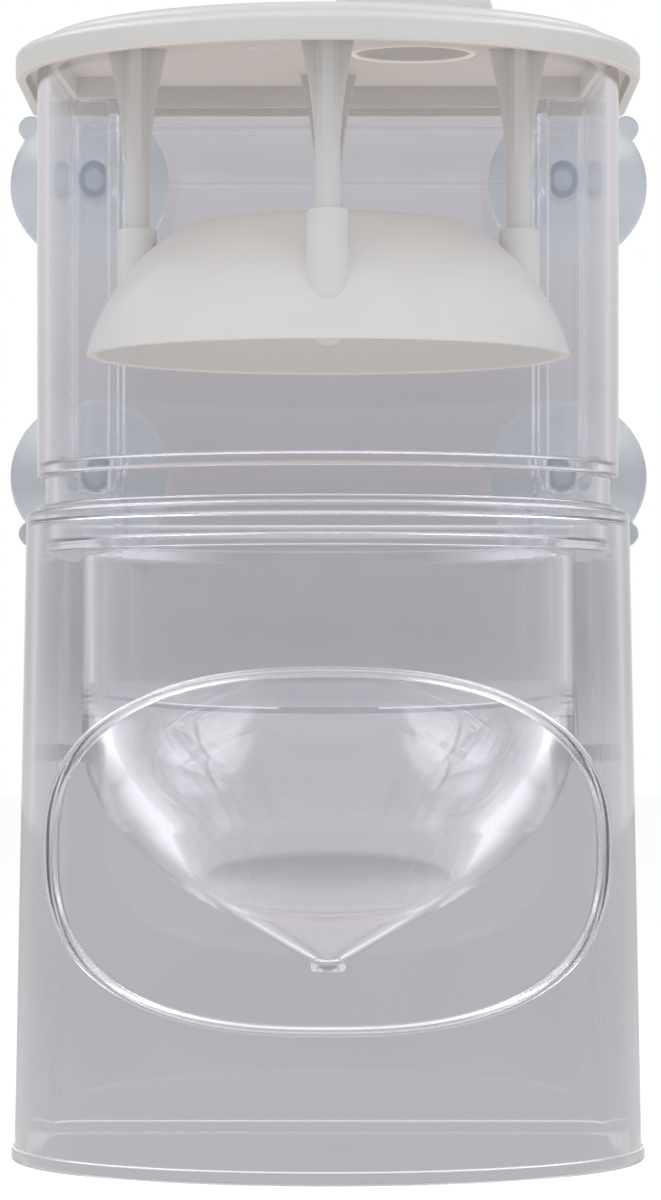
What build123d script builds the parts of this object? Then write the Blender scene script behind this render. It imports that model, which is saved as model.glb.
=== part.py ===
from build123d import *
import math
import os

# A brine shrimp hatchery: a clear tank with a pointed bowl drops into a clear
# stand, a white lid closes it, and a white splash dome hangs from the lid.
# Millimetres, Z up, front towards -Y. The bowl's axis is x = 0, y = 0 while
# the pieces are drawn. They are moved along Y together at the end.

# Shared sizes
WALL = 2.5
SEAT_GAP = 0.4
RUNNING_GAP = 0.1

# Stand's height, which the tank's neck and bowl hang down from
STAND_TOP = 142.1

# Tank
TANK_HALF_WIDTH = 64.1
TANK_BACK = 61.7
TANK_CORNER = 4.0
TANK_HEIGHT = 91.5
SHOULDER_OVER_STAND = 7.4
SHOULDER_THICK = 2.5
NECK_STEP = 1.8
FLOOR_UNDER_STAND_TOP = 6.6
SKIRT_DROP = 51.1
SEAT_BEAD_HEIGHT = 1.4
SEAT_BEAD_OUT = 1.7

# Dry columns in the tank's back corners
COLUMN_WIDE = 10.2
COLUMN_DEEP = 15.0
COLUMN_WALL = 2.4

# Bowl
BOWL_RADIUS = 54.6
BOWL_MOUTH_WALL = 2.5
TIP_RADIUS = 3.8
TIP_DROP = 98.7
TIP_FLOOR = 1.7
TIP_BOSS_HEIGHT = 2.4
TIP_INNER_RADIUS = 2.6
OUTER_SHOULDER_ARC = 35.5
OUTER_SHOULDER_TURN = 40
OUTER_FLANK = 0.5
OUTER_NOSE_ARC = 68.5
OUTER_CONE_SLOPE = 29
INNER_SHOULDER_ARC = 41.3
INNER_SHOULDER_TURN = 44.5
INNER_FLANK = 19.0
INNER_NOSE_ARC = 60.0
INNER_CONE_SLOPE = 33
GATE_RADIUS = 1.6
GATE_DEPTH = 0.8

# Marks moulded on the back wall
FILL_LINE_DROP = 19.5
FILL_LINE_HALF = 41.5
FILL_LINE_HEIGHT = 1.4
FILL_LINE_OUT = 0.5
RIM_RIB_DROP = 6.9
RIM_RIB_HEIGHT = 2.4
RIM_RIB_OUT = 1.2
RIM_RIB_END = 4.5

# Stand
STAND_TOP_OVER_TANK = 2.3
STAND_BACK_OVER_TANK = 3.1
STAND_SPREAD = 2.7
STAND_CORNER = 6.0
STAND_FLANGE_THICK = 2.5
FOOT_BEAD_HEIGHT = 3.0
FOOT_BEAD_OUT = 0.7
WINDOW_HALF_WIDTH = 59.8
WINDOW_HALF_HEIGHT = 38.3
WINDOW_Z = 69.2
WINDOW_UPPER_POWER = 2.45
WINDOW_LOWER_POWER = 2.65
WINDOW_POINTS = 36
LIP_WIDE = 2.2
LIP_PROUD = 1.0
LEDGE_HEIGHT = 4.0
LEDGE_HALF = 51.0
TAB_HALF = 12.3
TAB_RISE = 11.5
TAB_CORNER = 2.5

# Lid
LID_OVERHANG = 4.7
LID_BACK_OVERHANG = 2.6
LID_CORNER = 7.0
LID_RIM_THICK = 2.6
LID_SKIRT_DROP = 3.6
LID_SKIRT_WALL = 2.2
LID_EDGE_ROUND = 2.0
PANEL_RISE = 2.6
PANEL_THICK = 2.4
PANEL_INSET = 1.0
RIB_DROP = 2.0
RIB_THICK = 1.8
AIRLINE_RADIUS = 3.5
AIRLINE_X = -14.6
AIRLINE_Y = -6.0
CORNER_HOLE_RADIUS = 2.5
CORNER_HOLE_Y = 47.5

# Posts under the lid
POST_INSIDE_RIM = 11.5
POSTS_FORWARD = 4.5
POST_COUNT = 4
ROD_RADIUS = 2.75
ROD_END_ROUND = 1.2
FLARE_HALF = 6.5
FLARE_MID_HALF = 4.0
FLARE_MID_DROP = 12.3
FLARE_DROP = 24.0
FLARE_RIB_THICK = 2.6

# Filler cap and its collar
FILLER_TO_POST = 2.3
FILLER_Y = 4.0
FILLER_RADIUS = 14.3
COLLAR_WALL = 1.6
COLLAR_RISE = 5.0
CAP_SKIRT_WALL = 1.7
CAP_HEIGHT = 12.0
CAP_TOP_THICK = 2.0
CAP_PLUG_WALL = 1.6
CAP_EDGE_ROUND = 4.5

# Splash dome
DOME_RADIUS = 53.4
DOME_RIM_DROP = 67.2
DOME_HEIGHT = 30.6
DOME_WALL = 2.0
CROWN_IN = 27.4
CROWN_FALL = 0.8
BROW_IN = 19.4
BROW_FALL = 3.4
SOCKET_WALL = 1.5
SOCKET_TOP_DROP = 2.8
SOCKET_BOTTOM_DROP = 25.0
SOCKET_FLOOR = 3.9
SOCKET_FIT = 0.05
SOCKET_FLOOR_GAP = 0.5

# Suction cups
CUP_UPPER_DROP = 18.7
CUP_LOWER_RISE = 4.3
CUP_RADIUS = 18.25
CUP_DEPTH = 8.4
CUP_BODY_RADIUS = 6.0
CUP_BODY_DEPTH = 2.2
CUP_EDGE = 0.9
CUP_MIDDLE = 3.2
CUP_NECK_RADIUS = 2.6
CUP_HEAD_RADIUS = 4.3
CUP_HEAD_THICK = 3.0
CUP_FACE_GAP = 0.2
TAB_PULL_WIDE = 6.0
TAB_PULL_OUT = 3.6
TAB_PULL_THICK = 1.6

# Sizes worked out from the ones above
SHOULDER_Z = STAND_TOP + SHOULDER_OVER_STAND
TANK_TOP = SHOULDER_Z + TANK_HEIGHT
FLOOR_TOP = STAND_TOP - FLOOR_UNDER_STAND_TOP
SKIRT_BOTTOM = STAND_TOP - SKIRT_DROP
TIP_Z = STAND_TOP - TIP_DROP
FILL_LINE_Z = TANK_TOP - FILL_LINE_DROP
WATER_HALF = TANK_HALF_WIDTH - WALL
WATER_BACK = TANK_BACK - WALL
NECK_HALF = TANK_HALF_WIDTH - NECK_STEP
COLUMN_X_IN = WATER_HALF - COLUMN_WIDE
COLUMN_Y_IN = WATER_BACK - COLUMN_DEEP
NOTCH_X = COLUMN_X_IN - COLUMN_WALL
NOTCH_Y = COLUMN_Y_IN - COLUMN_WALL
FLOOR_BOTTOM = FLOOR_TOP - WALL
CUP_X = COLUMN_X_IN + COLUMN_WIDE / 2
STAND_TOP_HALF = TANK_HALF_WIDTH + STAND_TOP_OVER_TANK
STAND_TOP_BACK = TANK_BACK + STAND_BACK_OVER_TANK
STAND_FOOT_HALF = STAND_TOP_HALF + STAND_SPREAD
STAND_FOOT_BACK = STAND_TOP_BACK + STAND_SPREAD
LID_HALF = TANK_HALF_WIDTH + LID_OVERHANG
LID_BACK = TANK_BACK + LID_BACK_OVERHANG
LID_RIM_TOP = TANK_TOP + LID_RIM_THICK
LID_SKIRT_BOTTOM = TANK_TOP - LID_SKIRT_DROP
LID_TOP = LID_RIM_TOP + PANEL_RISE
CEILING_Z = LID_TOP - PANEL_THICK
POST_CIRCLE = DOME_RADIUS - POST_INSIDE_RIM
FILLER_X = POST_CIRCLE - FLARE_HALF - FILLER_TO_POST - FILLER_RADIUS
DOME_RIM_Z = CEILING_Z - DOME_RIM_DROP
DOME_TOP = DOME_RIM_Z + DOME_HEIGHT
SOCKET_RADIUS = ROD_RADIUS + SOCKET_FIT + SOCKET_WALL
SOCKET_TOP_Z = DOME_TOP - SOCKET_TOP_DROP
SOCKET_BOTTOM_Z = DOME_TOP - SOCKET_BOTTOM_DROP
ROD_END_Z = SOCKET_BOTTOM_Z + SOCKET_FLOOR + SOCKET_FLOOR_GAP
CAVITY_HALF = WATER_HALF - PANEL_INSET
CAVITY_BACK = WATER_BACK - PANEL_INSET - SEAT_GAP
CUP_UPPER_Z = TANK_TOP - CUP_UPPER_DROP
CUP_LOWER_Z = SHOULDER_Z + CUP_LOWER_RISE
CUP_OUTER_FACE = TANK_BACK + CUP_FACE_GAP
CUP_RIM_Y = CUP_OUTER_FACE + CUP_DEPTH
MIDDLE_Y = (CUP_RIM_Y - STAND_FOOT_HALF - FOOT_BEAD_OUT) / 2


def post_spots():
    """Places of the posts and their sockets, a little forward of the bowl's axis."""
    return [Pos(0, -POSTS_FORWARD) * spot for spot in PolarLocations(POST_CIRCLE, POST_COUNT)]


def square_backed_plan(half_width, back):
    """Half round at the front, straight sides and a flat back."""
    front = ThreePointArc((-half_width, 0), (0, -half_width), (half_width, 0))
    rest = Polyline((half_width, 0), (half_width, back), (-half_width, back), (-half_width, 0))
    return make_face(Curve() + [front, rest])


def u_plan(half_width, back, corner):
    """The square-backed plan with its two back corners rounded."""
    plan = square_backed_plan(half_width, back)
    return fillet(plan.vertices().sort_by(Axis.Y)[-2:], corner)


def notched_plan(half_width, back, notch_x, notch_y):
    """The same plan with both back corners cut away for the dry columns."""
    plan = square_backed_plan(half_width, back)
    wide = half_width - notch_x
    deep = back - notch_y
    for side in (-1, 1):
        plan -= Pos(side * (notch_x + wide), notch_y + deep) * Rectangle(2 * wide, 2 * deep)
    return plan


def standing(plan, low, high):
    """A plan pulled up from one height to another."""
    return extrude(Pos(0, 0, low) * plan, high - low)


def flared_block(low_half, low_back, high_half, high_back, low, high, corner):
    """A U block that changes size evenly from its lower to its upper plan."""
    lower = Pos(0, 0, low) * u_plan(low_half, low_back, corner)
    upper = Pos(0, 0, high) * u_plan(high_half, high_back, corner)
    return loft([lower, upper], ruled=True)


def ogive(radius, tip_radius, tip_z, shoulder_arc, shoulder_turn, flank, nose_arc, cone_slope):
    """Edges of one bowl surface, from its wall down to its tip.

    The wall turns in on the shoulder arc, runs straight for the flank, bends
    on the nose arc to the cone's slope and goes straight on to the tip. Turns
    and slope are in degrees.
    """
    turn = math.radians(shoulder_turn)
    last = math.radians(90 - cone_slope)
    inward = shoulder_arc * (1 - math.cos(turn)) + flank * math.sin(turn)
    inward += nose_arc * (math.cos(turn) - math.cos(last))
    drop = shoulder_arc * math.sin(turn) + flank * math.cos(turn)
    drop += nose_arc * (math.sin(last) - math.sin(turn))
    drop += (radius - inward - tip_radius) * math.tan(math.radians(cone_slope))
    start_z = tip_z + drop
    shoulder = JernArc((radius, start_z), (0, -1), shoulder_arc, -shoulder_turn)
    straight = Line(shoulder @ 1, (shoulder @ 1) + (shoulder % 1) * flank)
    nose = JernArc(straight @ 1, straight % 1, nose_arc, shoulder_turn + cone_slope - 90)
    cone = Line(nose @ 1, (tip_radius, tip_z))
    return [shoulder, straight, nose, cone]


def turned(edges, closing_points):
    """Turns a profile in the XZ plane, closed through the given points."""
    first = edges[0] @ 0
    last = edges[-1] @ 1
    points = [last] + closing_points + [first]
    lines = [Line(points[i], points[i + 1]) for i in range(len(points) - 1)]
    face = make_face(Curve() + edges + lines)
    return revolve(Plane.XZ * face, Axis.Z)


# Bowl: two profiles, thin at the mouth and thicker down the flank
def make_bowl():
    outer_edges = ogive(BOWL_RADIUS, TIP_RADIUS, TIP_Z, OUTER_SHOULDER_ARC,
                        OUTER_SHOULDER_TURN, OUTER_FLANK, OUTER_NOSE_ARC, OUTER_CONE_SLOPE)
    outer = turned(outer_edges, [(0, TIP_Z), (0, FLOOR_TOP), (BOWL_RADIUS, FLOOR_TOP)])
    inner_radius = BOWL_RADIUS - BOWL_MOUTH_WALL
    floor_z = TIP_Z + TIP_FLOOR
    inner_edges = ogive(inner_radius, TIP_INNER_RADIUS, floor_z, INNER_SHOULDER_ARC,
                        INNER_SHOULDER_TURN, INNER_FLANK, INNER_NOSE_ARC, INNER_CONE_SLOPE)
    above = FLOOR_TOP + WALL
    inner = turned(inner_edges, [(0, floor_z), (0, above), (inner_radius, above)])
    boss_low = TIP_Z - TIP_BOSS_HEIGHT
    outer += standing(Circle(TIP_RADIUS), boss_low, TIP_Z + 0.5)
    outer -= standing(Circle(GATE_RADIUS), boss_low, boss_low + GATE_DEPTH)
    return outer, inner


# Tank: a U box with two dry columns, a shoulder, a neck and the bowl
def make_tank():
    shell = standing(u_plan(TANK_HALF_WIDTH, TANK_BACK, TANK_CORNER), SHOULDER_Z, TANK_TOP)
    water = notched_plan(WATER_HALF, WATER_BACK, NOTCH_X, NOTCH_Y)
    shell -= standing(water, SHOULDER_Z + SHOULDER_THICK, TANK_TOP)

    neck = standing(notched_plan(NECK_HALF, TANK_BACK, COLUMN_X_IN, COLUMN_Y_IN),
                    FLOOR_BOTTOM, SHOULDER_Z)
    bead = u_plan(NECK_HALF + SEAT_BEAD_OUT, TANK_BACK, TANK_CORNER)
    behind = Pos(0, NOTCH_Y + TANK_BACK) * Rectangle(4 * TANK_HALF_WIDTH, 2 * TANK_BACK)
    neck += standing(bead - behind, STAND_TOP, STAND_TOP + SEAT_BEAD_HEIGHT)
    body = shell + neck
    neck_water = notched_plan(NECK_HALF - WALL, WATER_BACK, NOTCH_X, NOTCH_Y)
    body -= standing(neck_water, FLOOR_TOP, SHOULDER_Z + SHOULDER_THICK)

    # Skirt plate that hangs behind the bowl and stands on the stand's ledge
    skirt = Pos(0, TANK_BACK - WALL / 2) * Rectangle(2 * COLUMN_X_IN, WALL)
    body += standing(skirt, SKIRT_BOTTOM, FLOOR_TOP)

    outer, inner = make_bowl()
    body = body + outer - inner

    # Columns are open at both ends, and hold the cups' heads
    for side in (-1, 1):
        middle_y = COLUMN_Y_IN + COLUMN_DEEP / 2
        void = Pos(side * CUP_X, middle_y) * Rectangle(COLUMN_WIDE, COLUMN_DEEP)
        body -= standing(void, SHOULDER_Z, TANK_TOP)
        for height in (CUP_UPPER_Z, CUP_LOWER_Z):
            hole = Cylinder(CUP_NECK_RADIUS + RUNNING_GAP, 4 * WALL, rotation=(90, 0, 0))
            body -= Pos(side * CUP_X, TANK_BACK, height) * hole

    # Raised line at the fill height and a stiffening rib below the rim
    line = Box(2 * FILL_LINE_HALF, 2 * FILL_LINE_OUT, FILL_LINE_HEIGHT)
    body += Pos(0, TANK_BACK, FILL_LINE_Z) * line
    rib = Box(2 * (TANK_HALF_WIDTH - RIM_RIB_END), 2 * RIM_RIB_OUT, RIM_RIB_HEIGHT)
    body += Pos(0, TANK_BACK, TANK_TOP - RIM_RIB_DROP) * rib
    return body


def window_plan(inset):
    """The window's outline seen from the front, rounder above than below."""
    half_width = WINDOW_HALF_WIDTH - inset
    half_height = WINDOW_HALF_HEIGHT - inset
    points = []
    for step in range(WINDOW_POINTS):
        angle = 2 * math.pi * step / WINDOW_POINTS
        power = WINDOW_UPPER_POWER if math.sin(angle) >= 0 else WINDOW_LOWER_POWER
        across = math.copysign(abs(math.cos(angle)) ** (2 / power), math.cos(angle))
        up = math.copysign(abs(math.sin(angle)) ** (2 / power), math.sin(angle))
        points.append((half_width * across, WINDOW_Z + half_height * up))
    return make_face(Spline(points, periodic=True))


def window_bar(inset):
    """The window's outline pushed out of the front of the stand."""
    return extrude(Plane.XZ * window_plan(inset), 2 * STAND_FOOT_HALF)


# Stand: an open U shell with an oval window, flange, foot bead and ledge
def make_stand():
    def shell(outward, inward):
        outer = flared_block(STAND_FOOT_HALF + outward, STAND_FOOT_BACK + outward,
                             STAND_TOP_HALF + outward, STAND_TOP_BACK + outward,
                             0, STAND_TOP, STAND_CORNER + outward)
        inner = flared_block(STAND_FOOT_HALF - inward, STAND_FOOT_BACK - inward,
                             STAND_TOP_HALF - inward, STAND_TOP_BACK - inward,
                             0, STAND_TOP, STAND_CORNER - inward)
        return outer - inner

    body = shell(0, WALL)
    flange = u_plan(STAND_TOP_HALF - WALL / 2, STAND_TOP_BACK - WALL / 2, STAND_CORNER)
    flange -= u_plan(NECK_HALF + SEAT_GAP, TANK_BACK + SEAT_GAP, TANK_CORNER)
    body += standing(flange, STAND_TOP - STAND_FLANGE_THICK, STAND_TOP)
    bead = u_plan(STAND_FOOT_HALF + FOOT_BEAD_OUT, STAND_FOOT_BACK + FOOT_BEAD_OUT, STAND_CORNER)
    bead -= u_plan(STAND_FOOT_HALF - WALL / 2, STAND_FOOT_BACK - WALL / 2, STAND_CORNER)
    body += standing(bead, 0, FOOT_BEAD_HEIGHT)

    lip = (window_bar(0) - window_bar(LIP_WIDE)) & shell(LIP_PROUD, WALL + LIP_PROUD)
    body = body - window_bar(LIP_WIDE) + lip

    # Ledge under the tank's skirt, and the tab that keeps the skirt in place
    tab_back = TANK_BACK - WALL - SEAT_GAP
    tab_front = tab_back - WALL
    wall_face = STAND_TOP_BACK - WALL / 2
    ledge = Pos(0, (tab_front + wall_face) / 2) * Rectangle(2 * LEDGE_HALF, wall_face - tab_front)
    body += standing(ledge, SKIRT_BOTTOM - LEDGE_HEIGHT, SKIRT_BOTTOM)
    tab = Pos(0, SKIRT_BOTTOM) * Rectangle(2 * TAB_HALF, 2 * TAB_RISE)
    tab = fillet(tab.vertices().sort_by(Axis.Y)[-2:], TAB_CORNER)
    tab -= Pos(0, SKIRT_BOTTOM - TAB_RISE) * Rectangle(2 * TAB_HALF, 2 * (TAB_RISE - 0.5))
    tab = extrude(Plane.XZ * tab, WALL)
    return body + Pos(0, tab_back, 0) * tab


def make_post():
    """One post: a cross of flared ribs that runs down into a round rod."""
    root_z = CEILING_Z + PANEL_THICK / 2
    rod = standing(Circle(ROD_RADIUS), ROD_END_Z, root_z)
    rod = fillet(rod.edges().sort_by(Axis.Z)[0], ROD_END_ROUND)
    low = CEILING_Z - FLARE_DROP
    middle = CEILING_Z - FLARE_MID_DROP
    right = ThreePointArc((ROD_RADIUS, low), (FLARE_MID_HALF, middle), (FLARE_HALF, CEILING_Z))
    top = Polyline((FLARE_HALF, CEILING_Z), (FLARE_HALF, root_z), (0, root_z), (0, low),
                   (ROD_RADIUS, low))
    half_rib = extrude(Plane.XZ * make_face(Curve() + [right, top]), FLARE_RIB_THICK / 2, both=True)
    post = rod
    for turn in range(4):
        post += Rot(0, 0, 90 * turn) * half_rib
    return post


# Lid: rim, raised panel, locating rib, filler collar and the four posts
def make_lid():
    rim = standing(u_plan(LID_HALF, LID_BACK, LID_CORNER), LID_SKIRT_BOTTOM, LID_RIM_TOP)
    rim = fillet(rim.edges().group_by(Axis.Z)[-1], LID_EDGE_ROUND)
    under = u_plan(LID_HALF - LID_SKIRT_WALL, LID_BACK - LID_SKIRT_WALL, LID_CORNER - LID_SKIRT_WALL)
    rim -= standing(under, LID_SKIRT_BOTTOM, TANK_TOP)
    panel_half = CAVITY_HALF + PANEL_THICK
    panel_back = CAVITY_BACK + PANEL_THICK
    panel = standing(u_plan(panel_half, panel_back, TANK_CORNER), LID_RIM_TOP - 1, LID_TOP)
    panel = fillet(panel.edges().group_by(Axis.Z)[-1], LID_EDGE_ROUND)
    body = rim + panel
    cavity = u_plan(CAVITY_HALF, CAVITY_BACK, TANK_CORNER / 2)
    body -= standing(cavity, TANK_TOP - 1, CEILING_Z)

    rib = notched_plan(WATER_HALF - SEAT_GAP, WATER_BACK - SEAT_GAP,
                       NOTCH_X - SEAT_GAP, NOTCH_Y - SEAT_GAP)
    inset = SEAT_GAP + RIB_THICK
    rib -= notched_plan(WATER_HALF - inset, WATER_BACK - inset, NOTCH_X - inset, NOTCH_Y - inset)
    body += standing(rib, TANK_TOP - RIB_DROP, CEILING_Z + PANEL_THICK / 2)

    collar = Pos(FILLER_X, FILLER_Y) * Circle(FILLER_RADIUS + COLLAR_WALL)
    body += standing(collar, CEILING_Z, LID_TOP + COLLAR_RISE)
    bore = Pos(FILLER_X, FILLER_Y) * Circle(FILLER_RADIUS)
    body -= standing(bore, CEILING_Z - 1, LID_TOP + COLLAR_RISE + 1)
    airline = Pos(AIRLINE_X, AIRLINE_Y) * Circle(AIRLINE_RADIUS)
    body -= standing(airline, CEILING_Z - 1, LID_TOP + 1)
    for side in (-1, 1):
        corner = Pos(side * CUP_X, CORNER_HOLE_Y) * Circle(CORNER_HOLE_RADIUS)
        body -= standing(corner, CEILING_Z - 1, LID_TOP + 1)
    post = make_post()
    for spot in post_spots():
        body += spot * post
    return body


# Filler cap: a hollow knob with a skirt round the collar and a plug inside it
def make_filler_cap():
    outer_radius = FILLER_RADIUS + COLLAR_WALL + RUNNING_GAP + CAP_SKIRT_WALL
    low = LID_TOP
    high = LID_TOP + CAP_HEIGHT
    cap = standing(Circle(outer_radius), low, high)
    cap = fillet(cap.edges().sort_by(Axis.Z)[-1], CAP_EDGE_ROUND)
    skirt_bore = Circle(FILLER_RADIUS + COLLAR_WALL + RUNNING_GAP)
    cap -= standing(skirt_bore, low, LID_TOP + COLLAR_RISE + SEAT_GAP)
    plug_radius = FILLER_RADIUS - RUNNING_GAP
    cap += standing(Circle(plug_radius), CEILING_Z, LID_TOP + COLLAR_RISE + 1)
    hollow = standing(Circle(plug_radius - CAP_PLUG_WALL), CEILING_Z, high - CAP_TOP_THICK)
    hollow = fillet(hollow.edges().sort_by(Axis.Z)[-1], CAP_EDGE_ROUND - CAP_TOP_THICK)
    return Pos(FILLER_X, FILLER_Y, 0) * (cap - hollow)


# Splash dome: a flat-crowned shell with four sockets for the posts
def make_dome():
    brow = DOME_RADIUS - BROW_IN
    crown_end = (DOME_RADIUS - CROWN_IN, DOME_TOP - CROWN_FALL)
    crown = TangentArc((0, DOME_TOP), crown_end, tangent=(1, 0))
    shoulder = TangentArc(crown @ 1, (brow, DOME_TOP - BROW_FALL), tangent=crown % 1)
    flank = TangentArc(shoulder @ 1, (DOME_RADIUS, DOME_RIM_Z), tangent=shoulder % 1)
    solid = turned([crown, shoulder, flank], [(0, DOME_RIM_Z)])
    solid = split(solid, Plane.XY.offset(DOME_RIM_Z), keep=Keep.TOP)
    rim_face = solid.faces().sort_by(Axis.Z)[0]
    shell = offset(solid, amount=-DOME_WALL, openings=rim_face)

    ball_z = SOCKET_BOTTOM_Z + SOCKET_RADIUS
    socket = standing(Circle(SOCKET_RADIUS), ball_z, SOCKET_TOP_Z)
    socket += Pos(0, 0, ball_z) * Sphere(SOCKET_RADIUS)
    bore_floor = SOCKET_BOTTOM_Z + SOCKET_FLOOR
    bore = standing(Circle(ROD_RADIUS + SOCKET_FIT), bore_floor, SOCKET_TOP_Z + 1)
    for spot in post_spots():
        shell += spot * socket
    for spot in post_spots():
        shell -= spot * bore
    airline = Pos(AIRLINE_X, AIRLINE_Y) * Circle(AIRLINE_RADIUS)
    return shell - standing(airline, DOME_TOP - 2 * DOME_WALL, DOME_TOP + 1)


def make_cup(pull_angle):
    """One suction cup round the Y axis, its wall face at y = 0 and rim behind."""
    inside = -WALL - 2 * CUP_FACE_GAP
    head_back = inside - CUP_HEAD_THICK
    rim = CUP_DEPTH
    outline = Polyline(
        (0, head_back), (CUP_HEAD_RADIUS, head_back), (CUP_HEAD_RADIUS, inside),
        (CUP_NECK_RADIUS, inside), (CUP_NECK_RADIUS, 0), (CUP_BODY_RADIUS, 0),
        (CUP_BODY_RADIUS, CUP_BODY_DEPTH))
    back = ThreePointArc((CUP_BODY_RADIUS, CUP_BODY_DEPTH),
                         (CUP_RADIUS * 0.72, rim * 0.58), (CUP_RADIUS, rim - CUP_EDGE))
    edge = Line((CUP_RADIUS, rim - CUP_EDGE), (CUP_RADIUS, rim))
    hollow = ThreePointArc((CUP_RADIUS - CUP_EDGE, rim),
                           (CUP_RADIUS * 0.6, rim * 0.68), (0, CUP_MIDDLE))
    land = Line((CUP_RADIUS, rim), (CUP_RADIUS - CUP_EDGE, rim))
    spine = Line((0, CUP_MIDDLE), (0, head_back))
    face = make_face(Curve() + [outline, back, edge, land, hollow, spine])
    cup = revolve(face, Axis.Y)
    tab_reach = CUP_RADIUS + TAB_PULL_OUT - TAB_PULL_WIDE / 2
    tab_root = CUP_RADIUS - CUP_EDGE
    strip = Rectangle(tab_reach - tab_root, TAB_PULL_WIDE)
    tab = Pos(tab_reach, 0) * Circle(TAB_PULL_WIDE / 2)
    tab += Pos((tab_reach + tab_root) / 2, 0) * strip
    tab = extrude(Plane.XZ * tab, TAB_PULL_THICK)
    cup += Pos(0, rim, 0) * (Rot(0, -pull_angle, 0) * tab)
    return cup


def main():
    os.makedirs("parts", exist_ok=True)
    pieces = {
        "stand": make_stand(),
        "hatching_tank": make_tank(),
        "lid": make_lid(),
        "filler_cap": make_filler_cap(),
        "splash_dome": make_dome(),
    }
    for side, side_name in ((-1, "left"), (1, "right")):
        for height, level, tilt in ((CUP_UPPER_Z, "upper", 45), (CUP_LOWER_Z, "lower", -45)):
            pull_angle = tilt if side > 0 else 180 - tilt
            cup = Pos(side * CUP_X, CUP_OUTER_FACE, height) * make_cup(pull_angle)
            pieces["suction_cup_" + level + "_" + side_name] = cup
    for name, piece in pieces.items():
        export_step(Pos(0, -MIDDLE_Y, 0) * piece, "parts/" + name + ".step")


main()
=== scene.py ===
"""Looks of a clear brine shrimp hatchery with a white lid and a hanging splash dome.

Every piece is drawn in millimetres with the bowl's axis at x = 0, y = 0, as it
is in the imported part, and is turned into metres when it is finished.
"""

import logging
import math
from dataclasses import dataclass
from enum import Enum
from functools import reduce

import bmesh
import bpy
from mathutils import Matrix, Vector


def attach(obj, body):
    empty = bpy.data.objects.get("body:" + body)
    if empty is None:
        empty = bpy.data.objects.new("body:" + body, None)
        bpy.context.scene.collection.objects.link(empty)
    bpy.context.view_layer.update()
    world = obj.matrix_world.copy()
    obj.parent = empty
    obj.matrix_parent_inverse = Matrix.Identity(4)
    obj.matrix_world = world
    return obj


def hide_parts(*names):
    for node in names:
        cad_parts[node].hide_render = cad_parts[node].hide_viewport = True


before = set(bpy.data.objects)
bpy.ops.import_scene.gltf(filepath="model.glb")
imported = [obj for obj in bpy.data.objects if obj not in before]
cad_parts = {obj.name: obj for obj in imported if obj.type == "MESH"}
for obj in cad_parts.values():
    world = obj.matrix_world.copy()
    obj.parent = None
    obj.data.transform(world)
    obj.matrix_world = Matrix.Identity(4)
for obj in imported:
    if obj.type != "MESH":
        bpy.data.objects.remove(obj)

LOG = logging.getLogger("hatchery")
MM = 0.001
AXIS_Y = -0.25
CHORD_ERROR = 0.012
SMALL = 1e-3
BOUNCES = 40
GLOSSY_BOUNCES = 24

WHITE = (1.0, 1.0, 1.0)
BLACK = (0.0, 0.0, 0.0)

Stroke = tuple[str, float, float, float]
Value = float | tuple[float, ...] | bpy.types.NodeSocket


class Ray(Enum):
    """Light Path outputs that the materials and the world tell apart."""

    CAMERA = "Is Camera Ray"
    GLOSSY = "Is Glossy Ray"
    TRANSMISSION = "Is Transmission Ray"
    SHADOW = "Is Shadow Ray"
    DIFFUSE = "Is Diffuse Ray"


class Board(Enum):
    """Planes that an outline is drawn in, each with its turning axis."""

    PLAN = (0.0, 0.0, 1.0)
    PROFILE = (0.0, 1.0, 0.0)

    def place(self, across: float, up: float) -> Vector:
        """Puts a drawn point in space.

        Args:
            across: first coordinate on the board.
            up: second coordinate on the board.

        Returns:
            The point, in millimetres.
        """
        if self is Board.PLAN:
            return Vector((across, up, 0.0))
        return Vector((across, 0.0, up))


class Merge(Enum):
    """Ways in which one solid changes another."""

    JOIN = "UNION"
    CUT = "DIFFERENCE"


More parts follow.
